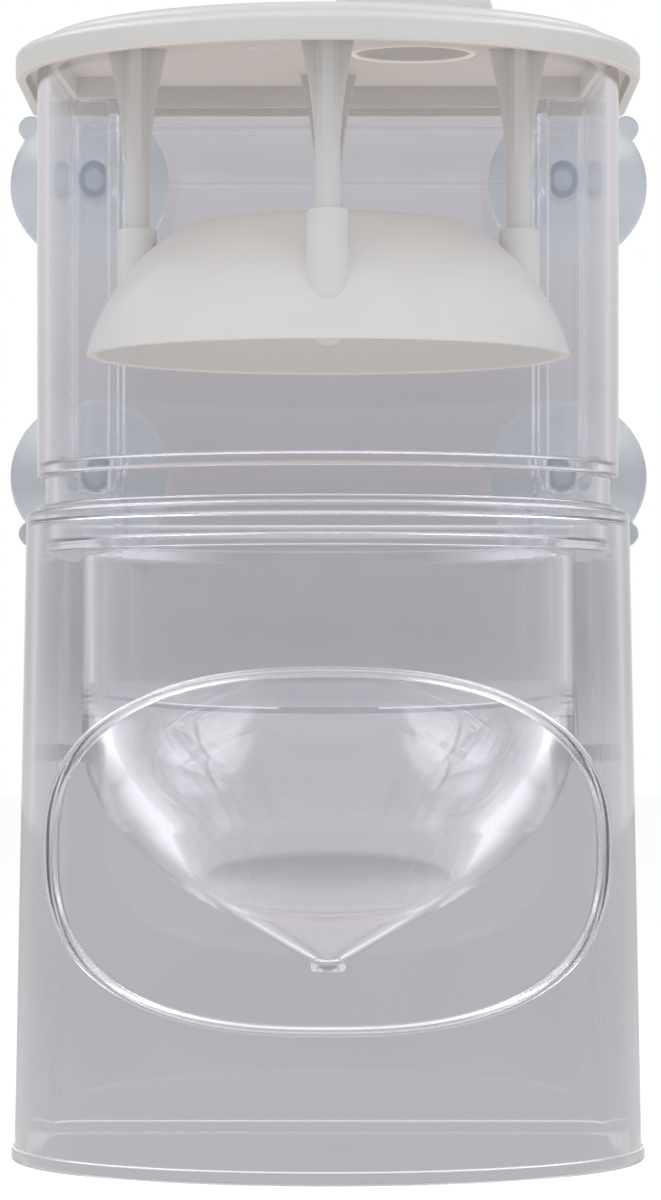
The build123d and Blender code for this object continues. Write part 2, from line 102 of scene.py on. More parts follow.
class Pen:
    """Draws one outline by extruding and spinning a single vertex."""

    def __init__(self, work: bmesh.types.BMesh, board: Board, across: float, up: float) -> None:
        """Sets the first point.

        Args:
            work: the mesh that takes the outline.
            board: the plane that it is drawn in.
            across: first coordinate of the first point.
            up: second coordinate of the first point.
        """
        self.work = work
        self.board = board
        made = bmesh.ops.create_vert(work, co=board.place(across, up))
        self.first = self.tip = made["vert"][0]

    def run(self, across: float, up: float) -> None:
        """Draws a straight line to a point.

        Args:
            across: first coordinate of the point.
            up: second coordinate of the point.
        """
        made = bmesh.ops.extrude_vert_indiv(self.work, verts=[self.tip])
        self.tip = made["verts"][0]
        self.tip.co = self.board.place(across, up)

    def arc(self, across: float, up: float, degrees: float) -> None:
        """Draws an arc round a centre.

        Args:
            across: first coordinate of the centre.
            up: second coordinate of the centre.
            degrees: the turn, by the right-hand rule about the board's axis.
        """
        centre = self.board.place(across, up)
        radius = (self.tip.co - centre).length
        widest = 2.0 * math.acos(1.0 - min(CHORD_ERROR / radius, 0.08))
        turn = math.radians(degrees)
        steps = max(3, math.ceil(abs(turn) / widest))
        made = bmesh.ops.spin(self.work, geom=[self.tip], cent=centre, axis=self.board.value,
                              angle=turn, steps=steps)
        self.tip = next(v for v in made["geom_last"] if isinstance(v, bmesh.types.BMVert))

    def arc_to(self, across: float, up: float, heading: float) -> float:
        """Draws an arc that leaves on a heading and ends at a point.

        Args:
            across: first coordinate of the end.
            up: second coordinate of the end.
            heading: direction of travel at the start, in radians.

        Returns:
            The direction of travel at the end, in radians.
        """
        start = self.drawn()
        step = (across - start[0], up - start[1])
        side = (-math.sin(heading), math.cos(heading))
        reach = (step[0] ** 2 + step[1] ** 2) / (2.0 * (step[0] * side[0] + step[1] * side[1]))
        chord = math.atan2(step[1], step[0])
        turn = 2.0 * math.remainder(chord - heading, 2.0 * math.pi)
        sign = 1.0 if self.board is Board.PLAN else -1.0
        self.arc(start[0] + side[0] * reach, start[1] + side[1] * reach, sign * math.degrees(turn))
        return heading + turn

    def drawn(self) -> tuple[float, float]:
        """Gives the tip's two coordinates on the board."""
        co = self.tip.co
        return (co.x, co.y) if self.board is Board.PLAN else (co.x, co.z)

    def trace(self, strokes: list[Stroke]) -> None:
        """Draws a list of strokes, each a run or an arc.

        Args:
            strokes: the kind, the place and, for an arc, the turn of each.
        """
        for kind, across, up, degrees in strokes:
            if kind == "run":
                self.run(across, up)
            else:
                self.arc(across, up, degrees)

    def fill(self) -> bmesh.types.BMFace:
        """Closes the outline and fills it.

        Returns:
            The face inside the outline.
        """
        if (self.tip.co - self.first.co).length > SMALL:
            bmesh.ops.contextual_create(self.work, geom=[self.tip, self.first])
        bmesh.ops.remove_doubles(self.work, verts=self.work.verts[:], dist=SMALL)
        bmesh.ops.contextual_create(self.work, geom=self.work.edges[:])
        return self.work.faces[:][-1]


class Solid:
    """A closed mesh in millimetres, drawn and shaped with bmesh operators."""

    def __init__(self, work: bmesh.types.BMesh | None = None) -> None:
        """Takes a mesh, or starts an empty one."""
        self.work = work if work is not None else bmesh.new()

    def settle(self) -> "Solid":
        """Merges doubled points and turns all faces outward.

        Returns:
            The same solid.
        """
        bmesh.ops.remove_doubles(self.work, verts=self.work.verts[:], dist=SMALL)
        bmesh.ops.recalc_face_normals(self.work, faces=self.work.faces[:])
        return self

    def rounded(self, edges: list[bmesh.types.BMEdge], radius: float, segments: int = 3) -> "Solid":
        """Rounds edges.

        Args:
            edges: the edges to round.
            radius: radius of the rounding.
            segments: facets across the rounding.

        Returns:
            The same solid.
        """
        bmesh.ops.bevel(self.work, geom=edges, offset=radius, offset_type="OFFSET", profile=0.5,
                        segments=segments, affect="EDGES", clamp_overlap=True, material=-1)
        return self

    def level_edges(self, height: float) -> list[bmesh.types.BMEdge]:
        """Finds the edges that lie at one height."""
        return [e for e in self.work.edges
                if all(abs(v.co.z - height) < SMALL for v in e.verts)]

    def softened(self, height: float, radius: float, segments: int = 3) -> "Solid":
        """Rounds the edges that lie at one height."""
        return self.rounded(self.level_edges(height), radius, segments)

    def upright_corners(self) -> list[bmesh.types.BMEdge]:
        """Finds the upright edges between faces that meet at a clear angle."""
        return [e for e in self.work.edges
                if abs(e.verts[0].co.x - e.verts[1].co.x) < SMALL
                and abs(e.verts[0].co.y - e.verts[1].co.y) < SMALL
                and e.is_manifold and e.calc_face_angle() > math.radians(50.0)]

    def moved(self, x: float = 0.0, y: float = 0.0, z: float = 0.0) -> "Solid":
        """Shifts the solid."""
        bmesh.ops.translate(self.work, verts=self.work.verts[:], vec=(x, y, z))
        return self

    def turned(self, degrees: float, axis: str) -> "Solid":
        """Turns the solid round an axis through the drawing's middle.

        Args:
            degrees: the turn.
            axis: the axis's letter.

        Returns:
            The same solid.
        """
        turn = Matrix.Rotation(math.radians(degrees), 3, axis)
        bmesh.ops.rotate(self.work, verts=self.work.verts[:], cent=(0.0, 0.0, 0.0), matrix=turn)
        return self

    def copy(self) -> "Solid":
        """Gives a second solid of the same shape."""
        return Solid(self.work.copy())

    def beside(self, other: "Solid") -> "Solid":
        """Takes in the faces of a solid that it doesn't touch.

        Args:
            other: the other solid.

        Returns:
            The same solid.
        """
        mesh = bpy.data.meshes.new("beside")
        other.work.to_mesh(mesh)
        self.work.from_mesh(mesh)
        bpy.data.meshes.remove(mesh)
        return self

    def shown(self, name: str) -> bpy.types.Object:
        """Puts the solid into the scene as an object.

        Args:
            name: the object's name.

        Returns:
            The object.
        """
        mesh = bpy.data.meshes.new(name)
        self.work.to_mesh(mesh)
        piece = bpy.data.objects.new(name, mesh)
        bpy.context.scene.collection.objects.link(piece)
        return piece

    def merged(self, other: "Solid", way: Merge) -> "Solid":
        """Joins or cuts this solid with another.

        Args:
            other: the other solid.
            way: what the other one does to this one.

        Returns:
            The changed solid.
        """
        body, tool = self.shown("body"), other.shown("tool")
        modifier = body.modifiers.new("merge", "BOOLEAN")
        modifier.operation = way.value
        modifier.solver = "MANIFOLD"
        modifier.object = tool
        graph = bpy.context.evaluated_depsgraph_get()
        result = bpy.data.meshes.new_from_object(body.evaluated_get(graph))
        self.work.clear()
        self.work.from_mesh(result)
        for piece in (body, tool):
            mesh = piece.data
            bpy.data.objects.remove(piece)
            bpy.data.meshes.remove(mesh)
        bpy.data.meshes.remove(result)
        if not self.work.faces:
            LOG.warning("a merge left nothing")
        return self

    def cut(self, other: "Solid") -> "Solid":
        """Takes another solid's room out of this one."""
        return self.merged(other, Merge.CUT)

    def join(self, other: "Solid") -> "Solid":
        """Makes one solid of this and another that it meets."""
        return self.merged(other, Merge.JOIN)

    def finish(self, name: str, sharp: float = 34.0) -> bpy.types.Object:
        """Puts the finished solid in the shared frame, in metres.

        Args:
            name: the piece's name.
            sharp: faces that meet at more than this many degrees keep a crease.

        Returns:
            The piece, smooth except at its creases.
        """
        bmesh.ops.remove_doubles(self.work, verts=self.work.verts[:], dist=SMALL)
        bmesh.ops.dissolve_degenerate(self.work, dist=SMALL, edges=self.work.edges[:])
        self.moved(y=AXIS_Y)
        bmesh.ops.scale(self.work, verts=self.work.verts[:], vec=(MM, MM, MM))
        for face in self.work.faces:
            face.smooth = True
        for edge in self.work.edges:
            edge.smooth = edge.is_manifold and edge.calc_face_angle() < math.radians(sharp)
        piece = self.shown(name)
        piece.data.name = name
        even = piece.modifiers.new("even_shading", "WEIGHTED_NORMAL")
        even.keep_sharp = True
        self.work.free()
        return piece


def pulled(work: bmesh.types.BMesh, faces: list[bmesh.types.BMFace],
           way: tuple[float, float, float]) -> Solid:
    """Pulls flat faces out into a closed solid.

    Args:
        work: the mesh that holds the faces.
        faces: the faces to pull.
        way: how far they go, on each axis.

    Returns:
        The closed solid.
    """
    made = bmesh.ops.extrude_face_region(work, geom=faces)
    far = [v for v in made["geom"] if isinstance(v, bmesh.types.BMVert)]
    bmesh.ops.translate(work, verts=far, vec=way)
    return Solid(work).settle()


def prism(start: tuple[float, float], strokes: list[Stroke], low: float, high: float) -> Solid:
    """Draws a plan and pulls it up.

    Args:
        start: the plan's first point.
        strokes: the rest of the plan.
        low: height of its underside.
        high: height of its top.

    Returns:
        The closed solid.
    """
    work = bmesh.new()
    pen = Pen(work, Board.PLAN, *start)
    pen.trace(strokes)
    return pulled(work, [pen.fill()], (0.0, 0.0, high - low)).moved(z=low)


def block(x: tuple[float, float], y: tuple[float, float], z: tuple[float, float],
          radius: float = 0.0) -> Solid:
    """Makes a box between two corners, with rounded edges if a radius is given.

    Args:
        x: its left and right.
        y: its front and back.
        z: its foot and top.
        radius: radius of its edges.

    Returns:
        The closed solid.
    """
    strokes = [("run", x[1], y[0], 0.0), ("run", x[1], y[1], 0.0), ("run", x[0], y[1], 0.0)]
    solid = prism((x[0], y[0]), strokes, z[0], z[1])
    return solid.rounded(solid.work.edges[:], radius) if radius else solid


def rod(radius: float, low: float, high: float) -> Solid:
    """Makes an upright round bar on the drawing's middle."""
    return prism((radius, 0.0), [("arc", 0.0, 0.0, 360.0)], low, high)


def u_strokes(half: float, back: float, corner: float) -> list[Stroke]:
    """Strokes of a plan with a half-round front and a flat back.

    Args:
        half: half the width, and the radius of the front.
        back: distance of the flat back from the middle.
        corner: radius of the two back corners.

    Returns:
        The strokes, for an outline that starts at the left of the half round.
    """
    return [
        ("arc", 0.0, 0.0, 180.0),
        ("run", half, back - corner, 0.0),
        ("arc", half - corner, back - corner, 90.0),
        ("run", corner - half, back, 0.0),
        ("arc", corner - half, back - corner, 90.0),
    ]


def u_block(half: float, back: float, corner: float, low: float, high: float) -> Solid:
    """Makes a block with a half-round front and a flat back."""
    return prism((-half, 0.0), u_strokes(half, back, corner), low, high)


def notched_block(half: float, back: float, notch: tuple[float, float], low: float,
                  high: float) -> Solid:
    """Makes the same block with both of its back corners cut away.

    Args:
        half: half the width.
        back: distance of the flat back from the middle.
        notch: where the cut starts, across and back.
        low: height of the underside.
        high: height of the top.

    Returns:
        The closed solid.
    """
    strokes = [
        ("arc", 0.0, 0.0, 180.0),
        ("run", half, notch[1], 0.0), ("run", notch[0], notch[1], 0.0),
        ("run", notch[0], back, 0.0), ("run", -notch[0], back, 0.0),
        ("run", -notch[0], notch[1], 0.0), ("run", -half, notch[1], 0.0),
    ]
    return prism((-half, 0.0), strokes, low, high)


def lathe(work: bmesh.types.BMesh, steps: int = 128) -> Solid:
    """Turns a drawn profile a full round about the upright axis.

    Args:
        work: the mesh with the profile.
        steps: facets round the axis.

    Returns:
        The closed solid.
    """
    bmesh.ops.spin(work, geom=work.verts[:] + work.edges[:], cent=(0.0, 0.0, 0.0),
                   axis=(0.0, 0.0, 1.0), angle=2.0 * math.pi, steps=steps, use_merge=True)
    return Solid(work).settle()


def eased(work: bmesh.types.BMesh, corners: dict[tuple[float, float], float]) -> None:
    """Rounds corners of a closed profile and leaves only its outline.

    Args:
        work: the mesh with the filled profile.
        corners: each corner's place on the board, with its radius.
    """
    for (across, up), radius in corners.items():
        spot = Board.PROFILE.place(across, up)
        near = [v for v in work.verts if (v.co - spot).length < SMALL]
        bmesh.ops.bevel(work, geom=near, offset=radius, offset_type="OFFSET", segments=4,
                        profile=0.5, affect="VERTICES", clamp_overlap=True, material=-1)
    bmesh.ops.delete(work, geom=work.faces[:], context="FACES_ONLY")


class Wiring:
    """Adds nodes to one shader tree and links them."""

    def __init__(self, tree: bpy.types.NodeTree) -> None:
        """Takes the tree to work in."""
        self.tree = tree

    def give(self, node: bpy.types.Node, inputs: dict[str | int, Value]) -> None:
        """Links or sets a node's inputs.

        Args:
            node: the node.
            inputs: an output, a number or a colour for each input, by name or place.
        """
        for key, value in inputs.items():
            socket = node.inputs[key]
            if isinstance(value, bpy.types.NodeSocket):
                self.tree.links.new(value, socket)
            elif socket.type == "RGBA":
                socket.default_value = (*value, 1.0)
            else:
                socket.default_value = value

    def add(self, kind: str, inputs: dict[str | int, Value] | None = None,
            **settings: str | bpy.types.NodeTree) -> bpy.types.Node:
        """Adds a node.

        Args:
            kind: the node's kind, without its first word.
            inputs: values for its inputs, by name or place.
            **settings: values for its properties.

        Returns:
            The new node.
        """
        node = self.tree.nodes.new("ShaderNode" + kind)
        for label, value in settings.items():
            setattr(node, label, value)
        self.give(node, inputs or {})
        return node

    def out(self, kind: str, *values: Value, **settings: str) -> bpy.types.NodeSocket:
        """Adds a node that takes values in order, and gives its first output."""
        return self.add(kind, dict(enumerate(values)), **settings).outputs[0]

    def math(self, operation: str, *values: Value) -> bpy.types.NodeSocket:
        """Gives the result of a sum on one to three values."""
        return self.out("Math", *values, operation=operation)

    def product(self, values: list[bpy.types.NodeSocket]) -> bpy.types.NodeSocket:
        """Gives the product of several values."""
        return reduce(lambda a, b: self.math("MULTIPLY", a, b), values)

    def mixed(self, share: Value, first: Value, second: Value) -> bpy.types.NodeSocket:
        """Gives a number between two numbers."""
        node = self.add("Mix", {0: share, 2: first, 3: second}, data_type="FLOAT")
        return node.outputs[0]

    def blended(self, share: Value, first: Value, second: Value) -> bpy.types.NodeSocket:
        """Gives a colour between two colours."""
        node = self.add("Mix", {0: share, 6: first, 7: second}, data_type="RGBA")
        return node.outputs[2]

    def ramp(self, value: Value, low: float, high: float) -> bpy.types.NodeSocket:
        """Gives 0 at one value and 1 at another, with soft ends."""
        inputs = {"Value": value, "From Min": low, "From Max": high}
        return self.add("MapRange", inputs, interpolation_type="SMOOTHSTEP").outputs["Result"]

    def split(self, vector: bpy.types.NodeSocket) -> list[bpy.types.NodeSocket]:
        """Gives a vector's three parts."""
        return list(self.add("SeparateXYZ", {0: vector}).outputs)

    def place(self) -> bpy.types.NodeSocket:
        """Gives the place on the piece, in its own coordinates."""
        return self.add("TexCoord").outputs["Object"]

    def ray(self, kind: Ray) -> bpy.types.NodeSocket:
        """Tells whether a ray is of one kind."""
        return self.add("LightPath").outputs[kind.value]

    def relief(self, height: bpy.types.NodeSocket, strength: float,
               depth: float) -> bpy.types.NodeSocket:
        """Turns a height into a normal, with its depth in millimetres."""
        inputs = {"Strength": strength, "Distance": depth * MM, "Height": height}
        return self.add("Bump", inputs).outputs["Normal"]


@dataclass
class Studio:
    """Camera, backdrop, floor and lamps.

    The camera stands level with the bowl, straight in front of the window.
    Its distances are in millimetres. A clear object shows what stands round
    it, so each direction has its own tone: a grey card behind the object for
    light that has come through a wall, a pale room in front and beside it, a
    ceiling, and a bright box high on each side. The ends say at which part of
    a direction one tone gives way to the next.
    """

    camera_distance: float = 1080.0
    camera_height: float = 94.4
    lens: float = 146.7
    sensor: float = 36.0
    shift_up: float = 0.1083
    shift_side: float = 0.0021
    turned: float = 0.12
    fill: float = 0.66
    rear_fill: float = 0.40
    card_tone: float = 0.27
    card_top_tone: float = 0.52
    room_tone: float = 0.75
    page_tone: float = 0.85
    side_tone: float = 0.72
    ceiling_tone: float = 1.2
    rear_ceiling_tone: float = 0.55
    box_tone: float = 5.5
    floor_tone: float = 1.05
    floor_card_tone: float = 0.46
    floor_lift: float = 0.53
    floor_gloss: float = 0.2
    floor_colour: tuple[float, float, float] = (0.80, 0.80, 0.80)
    floor_half: float = 6.0
    card_hue: tuple[float, float, float] = (1.02, 0.985, 1.05)
    behind_ends: tuple[float, float] = (-0.10, 0.35)
    card_top_ends: tuple[float, float] = (0.0, 0.15)
    horizon_ends: tuple[float, float] = (0.022, -0.012)
    side_ends: tuple[float, float] = (0.22, 0.62)
    ceiling_ends: tuple[float, float] = (0.18, 0.42)
    box_up_ends: tuple[float, float] = (0.30, 0.62)
    box_side_ends: tuple[float, float] = (0.55, 0.64)
    floor_slant_ends: tuple[float, float] = (0.45, 0.72)
    lamp_power: float = 1.5
    lamp_aim: tuple[float, float, float] = (0.0, 0.0, 0.13)

    def build(self) -> None:
        """Makes the whole studio."""
        self.place_camera()
        self.light_world()
        self.lay_floor()
        self.hang_lamps()

    def place_camera(self) -> None:
        """Sets up the photograph's view."""
        data = bpy.data.cameras.new("camera")
        data.lens = self.lens
        data.sensor_width = self.sensor
        data.shift_x = self.shift_side
        data.shift_y = self.shift_up
        data.clip_start = 0.01
        data.clip_end = 50.0
        camera = bpy.data.objects.new("camera", data)
        aside = self.camera_distance * math.tan(math.radians(self.turned))
        camera.location = (aside * MM, -self.camera_distance * MM, self.camera_height * MM)
        camera.rotation_euler = (math.radians(90.0), 0.0, math.radians(self.turned))
        bpy.context.scene.collection.objects.link(camera)
        bpy.context.scene.camera = camera

    def light_world(self) -> None:
        """Gives each direction its tone, with white for the camera itself."""
        world = bpy.data.worlds.new("studio")
        world.use_nodes = True
        bpy.context.scene.world = world
        world.node_tree.nodes.clear()
        wiring = Wiring(world.node_tree)
        x, y, z = wiring.split(wiring.add("TexCoord").outputs["Generated"])
        x = wiring.math("ABSOLUTE", x)
        behind = wiring.ramp(y, *self.behind_ends)
        bent = wiring.ray(Ray.TRANSMISSION)
        higher = wiring.ramp(z, *self.card_top_ends)
        card = wiring.mixed(higher, self.card_tone, self.card_top_tone)
        horizon = wiring.ramp(z, *self.horizon_ends)
        card = wiring.mixed(horizon, card, self.floor_card_tone)
        level = wiring.mixed(behind, self.room_tone, wiring.mixed(bent, self.page_tone, card))
        level = wiring.mixed(wiring.ramp(x, *self.side_ends), level, self.side_tone)
        above = wiring.mixed(behind, self.ceiling_tone, self.rear_ceiling_tone)
        seen = wiring.mixed(wiring.ramp(z, *self.ceiling_ends), level, above)
        boxed = wiring.product([wiring.ramp(z, *self.box_up_ends),
                                wiring.ramp(x, *self.box_side_ends)])
        seen = wiring.mixed(boxed, seen, self.box_tone)
        soft = wiring.mixed(behind, self.fill, self.rear_fill)
        mirrored = wiring.math("MAXIMUM", wiring.ray(Ray.GLOSSY), bent)
        strength = wiring.mixed(mirrored, soft, seen)
        strength = wiring.mixed(wiring.ray(Ray.CAMERA), strength, 1.0)
        hue = wiring.blended(bent, WHITE, self.card_hue)
        wiring.add("OutputWorld", {"Surface": wiring.out("Background", hue, strength)})

    def lay_floor(self) -> None:
        """Lays a wide pale floor that keeps the object's shadow."""
        work = bmesh.new()
        bmesh.ops.create_grid(work, x_segments=1, y_segments=1, size=self.floor_half)
        floor = Solid(work).shown("floor")
        work.free()
        material = bpy.data.materials.new("floor")
        material.use_nodes = True
        material.node_tree.nodes.clear()
        wiring = Wiring(material.node_tree)
        lift = wiring.mixed(wiring.ray(Ray.CAMERA), 0.0, self.floor_lift)
        lift = wiring.mixed(wiring.ray(Ray.GLOSSY), lift, self.floor_gloss)
        matt = wiring.out("AddShader", wiring.out("BsdfDiffuse", self.floor_colour),
                          wiring.out("Emission", WHITE, lift))
        slant = wiring.add("LayerWeight").outputs["Facing"]
        tone = wiring.mixed(wiring.ramp(slant, *self.floor_slant_ends), self.floor_tone,
                            self.floor_card_tone)
        card = wiring.out("Emission", self.card_hue, tone)
        seen = wiring.out("MixShader", wiring.ray(Ray.TRANSMISSION), matt, card)
        wiring.add("OutputMaterial", {"Surface": seen})
        floor.data.materials.append(material)

    def hang_lamps(self) -> None:
        """Hangs three plain soft boxes: left, right and above."""
        boxes = (
            ("left_box", (-0.8, -0.6, 0.45), (0.6, 0.9), 1.0),
            ("right_box", (0.8, -0.6, 0.45), (0.6, 0.9), 1.0),
            ("top_box", (0.0, -0.3, 1.1), (0.9, 0.9), 1.5),
        )
        for name, place, size, share in boxes:
            data = bpy.data.lights.new(name, "AREA")
            data.shape = "RECTANGLE"
            data.size, data.size_y = size
            data.energy = self.lamp_power * share
            lamp = bpy.data.objects.new(name, data)
            lamp.location = place
            aim = Vector(self.lamp_aim) - Vector(place)
            lamp.rotation_euler = aim.to_track_quat("-Z", "Y").to_euler()
            lamp.visible_glossy = False
            lamp.visible_transmission = False
            bpy.context.scene.collection.objects.link(lamp)


class SurfaceMarks:
    """Shader groups that the finishes share: moulded skin and handling marks."""

    def __init__(self) -> None:
        """Builds both groups once."""
        self.skin = self.make_skin()
        self.handling = self.make_handling()

    @staticmethod
    def start(name: str, inputs: dict[str, float],
              outputs: list[str]) -> tuple[Wiring, bpy.types.Node, bpy.types.Node]:
        """Starts a group.

        Args:
            name: the group's name.
            inputs: name and default of each input value.
            outputs: name of each output value.

        Returns:
            The group's wiring and its input and output nodes.
        """
        tree = bpy.data.node_groups.new(name, "ShaderNodeTree")
        for label, value in inputs.items():
            socket = tree.interface.new_socket(label, in_out="INPUT", socket_type="NodeSocketFloat")
            socket.default_value = value
        for label in outputs:
            tree.interface.new_socket(label, in_out="OUTPUT", socket_type="NodeSocketFloat")
        return Wiring(tree), tree.nodes.new("NodeGroupInput"), tree.nodes.new("NodeGroupOutput")

    def make_skin(self) -> bpy.types.NodeTree:
        """Makes the moulded skin: slow waves and a fine grain, as height and roughness.

        Returns:
            The group.
        """
        wiring, given, out = self.start(
            "moulded_skin",
            {"Wave Scale": 45.0, "Grain Scale": 1400.0, "Grain Share": 0.2,
             "Roughness": 0.3, "Roughness Spread": 0.05},
            ["Height", "Roughness"])
        place = wiring.place()
        waves, grain = [
            wiring.add("TexNoise", {"Vector": place, "Scale": given.outputs[scale],
                                    "Detail": detail}).outputs["Fac"]
            for scale, detail in (("Wave Scale", 2.0), ("Grain Scale", 3.0))]
        height = wiring.math("MULTIPLY_ADD", grain, given.outputs["Grain Share"], waves)
        centred = wiring.math("SUBTRACT", waves, 0.5)
        rough = wiring.math("MULTIPLY_ADD", centred, given.outputs["Roughness Spread"],
                            given.outputs["Roughness"])
        wiring.give(out, {"Height": height, "Roughness": rough})
        return wiring.tree

    def make_handling(self) -> bpy.types.NodeTree:
        """Makes the faint smudges that handling leaves, as a mask.

        Returns:
            The group.
        """
        wiring, given, out = self.start("handling_marks", {"Smudge Scale": 30.0}, ["Smudge"])
        smudge = wiring.add("TexNoise", {
            "Vector": wiring.place(), "Scale": given.outputs["Smudge Scale"],
            "Detail": 4.0, "Distortion": 0.6})
        wiring.give(out, {"Smudge": wiring.ramp(smudge.outputs["Fac"], 0.45, 0.75)})
        return wiring.tree


class Finish:
    """Steps that all finishes share when they build their material."""

    @staticmethod
    def begin(name: str) -> tuple[bpy.types.Material, Wiring, bpy.types.Node]:
        """Starts a material.

        Args:
            name: the material's name.

        Returns:
            The material, its wiring and its main shader.
        """
        material = bpy.data.materials.new(name)
        material.use_nodes = True
        tree = material.node_tree
        return material, Wiring(tree), tree.nodes["Principled BSDF"]

    @staticmethod
    def lets_light_in(wiring: Wiring, plastic: bpy.types.Node, tint: tuple[float, float, float],
                      straight: float = 0.0) -> None:
        """Ends a clear material so that lamps light what is behind it.

        Args:
            wiring: the material's wiring.
            plastic: its main shader.
            tint: colour of the light that passes.
            straight: share of all light that passes without bending.
        """
        unlit = wiring.math("MAXIMUM", wiring.ray(Ray.SHADOW), wiring.ray(Ray.DIFFUSE))
        share = wiring.math("MAXIMUM", unlit, straight)
        passing = wiring.out("BsdfTransparent", tint)
        mix = wiring.out("MixShader", share, plastic.outputs[0], passing)
        wiring.give(wiring.tree.nodes["Material Output"], {"Surface": mix})


@dataclass(frozen=True)
class ClearPlastic(Finish):
    """Polished clear plastic with faint flow waves and a few smudges."""

    name: str
    tint: tuple[float, float, float] = (0.975, 0.977, 0.985)
    smudged: tuple[float, float, float] = (0.955, 0.957, 0.968)
    passing: tuple[float, float, float] = (0.995, 0.995, 0.995)
    roughness: float = 0.03
    roughness_spread: float = 0.03
    wave_scale: float = 38.0
    wave_depth: float = 0.02
    wave_strength: float = 0.35
    smudge_scale: float = 26.0
    bending: float = 1.5

    def material(self, shared: SurfaceMarks) -> bpy.types.Material:
        """Builds the material.

        Args:
            shared: the groups that all finishes share.

        Returns:
            The new material.
        """
        material, wiring, plastic = self.begin(self.name)
        skin = wiring.add("Group", {
            "Wave Scale": self.wave_scale, "Grain Share": 0.0, "Roughness": self.roughness,
            "Roughness Spread": self.roughness_spread}, node_tree=shared.skin)
        handled = wiring.add("Group", {"Smudge Scale": self.smudge_scale},
                             node_tree=shared.handling)
        colour = wiring.blended(handled.outputs["Smudge"], self.tint, self.smudged)
        colour, roughness = self.varied(wiring, colour, skin.outputs["Roughness"])
        normal = wiring.relief(skin.outputs["Height"], self.wave_strength, self.wave_depth)
        wiring.give(plastic, {
            "IOR": self.bending, "Transmission Weight": 1.0, "Base Color": colour,
            "Roughness": roughness, "Normal": normal})
        self.lets_light_in(wiring, plastic, self.passing)
        return material

    def varied(self, wiring: Wiring, colour: bpy.types.NodeSocket,
               roughness: bpy.types.NodeSocket) -> tuple[bpy.types.NodeSocket, ...]:
        """Leaves colour and roughness as they are."""
        return colour, roughness


@dataclass(frozen=True)
class StandPlastic(ClearPlastic):
    """The same clear plastic, with painted shade that darkens the ledge and a duller window lip.

    Heights, depths and the wall's middle are in millimetres.
    """

    # thick: the painted shade colour that darkens the ledge, not a tint of the plastic.
    thick: tuple[float, float, float] = (0.66, 0.67, 0.71)
    lip_roughness: float = 0.24
    wall_lean: float = 2.7 / 142.1
    wall_middle: float = 67.85
    lip_off: tuple[float, float] = (1.4, 1.65)
    lip_front: tuple[float, float] = (0.0, -6.0)
    lip_low: tuple[float, float] = (24.0, 26.0)
    lip_high: tuple[float, float] = (114.0, 112.0)
    ledge_back: tuple[float, float] = (50.0, 52.0)
    ledge_low: tuple[float, float] = (86.8, 87.2)
    ledge_high: tuple[float, float] = (91.2, 90.8)

    def varied(self, wiring: Wiring, colour: bpy.types.NodeSocket,
               roughness: bpy.types.NodeSocket) -> tuple[bpy.types.NodeSocket, ...]:
        """Paints shade on the ledge by darkening its colour, and dulls the lip, found by their
        places on the stand.

        Args:
            wiring: the material's wiring.
            colour: the plain colour.
            roughness: the plain roughness.

        Returns:
            The varied colour and roughness.
        """
        _, y, z = wiring.split(wiring.place())
        flat = wiring.add("VectorMath", {0: wiring.place(), 1: (1.0, 1.0, 0.0)},
                          operation="MULTIPLY").outputs["Vector"]
        reach = wiring.add("VectorMath", {0: flat}, operation="LENGTH").outputs["Value"]
        upright = wiring.math("MULTIPLY_ADD", z, self.wall_lean, reach)
        off = wiring.math("ABSOLUTE", wiring.math("SUBTRACT", upright, self.wall_middle * MM))
        lip = self.within(wiring, (off, self.lip_off), (y, self.lip_front),
                          (z, self.lip_low), (z, self.lip_high))
        # The ledge mask says where the painted shade goes.
        ledge = self.within(wiring, (y, self.ledge_back), (z, self.ledge_low),
                            (z, self.ledge_high))
        return (wiring.blended(ledge, colour, self.thick),
                wiring.mixed(lip, roughness, self.lip_roughness))

    @staticmethod
    def within(wiring: Wiring, *bounds: tuple[bpy.types.NodeSocket, tuple[float, float]]
               ) -> bpy.types.NodeSocket:
        """Gives 1 where every value has passed from its first to its second bound."""
        return wiring.product([wiring.ramp(value, a * MM, b * MM) for value, (a, b) in bounds])


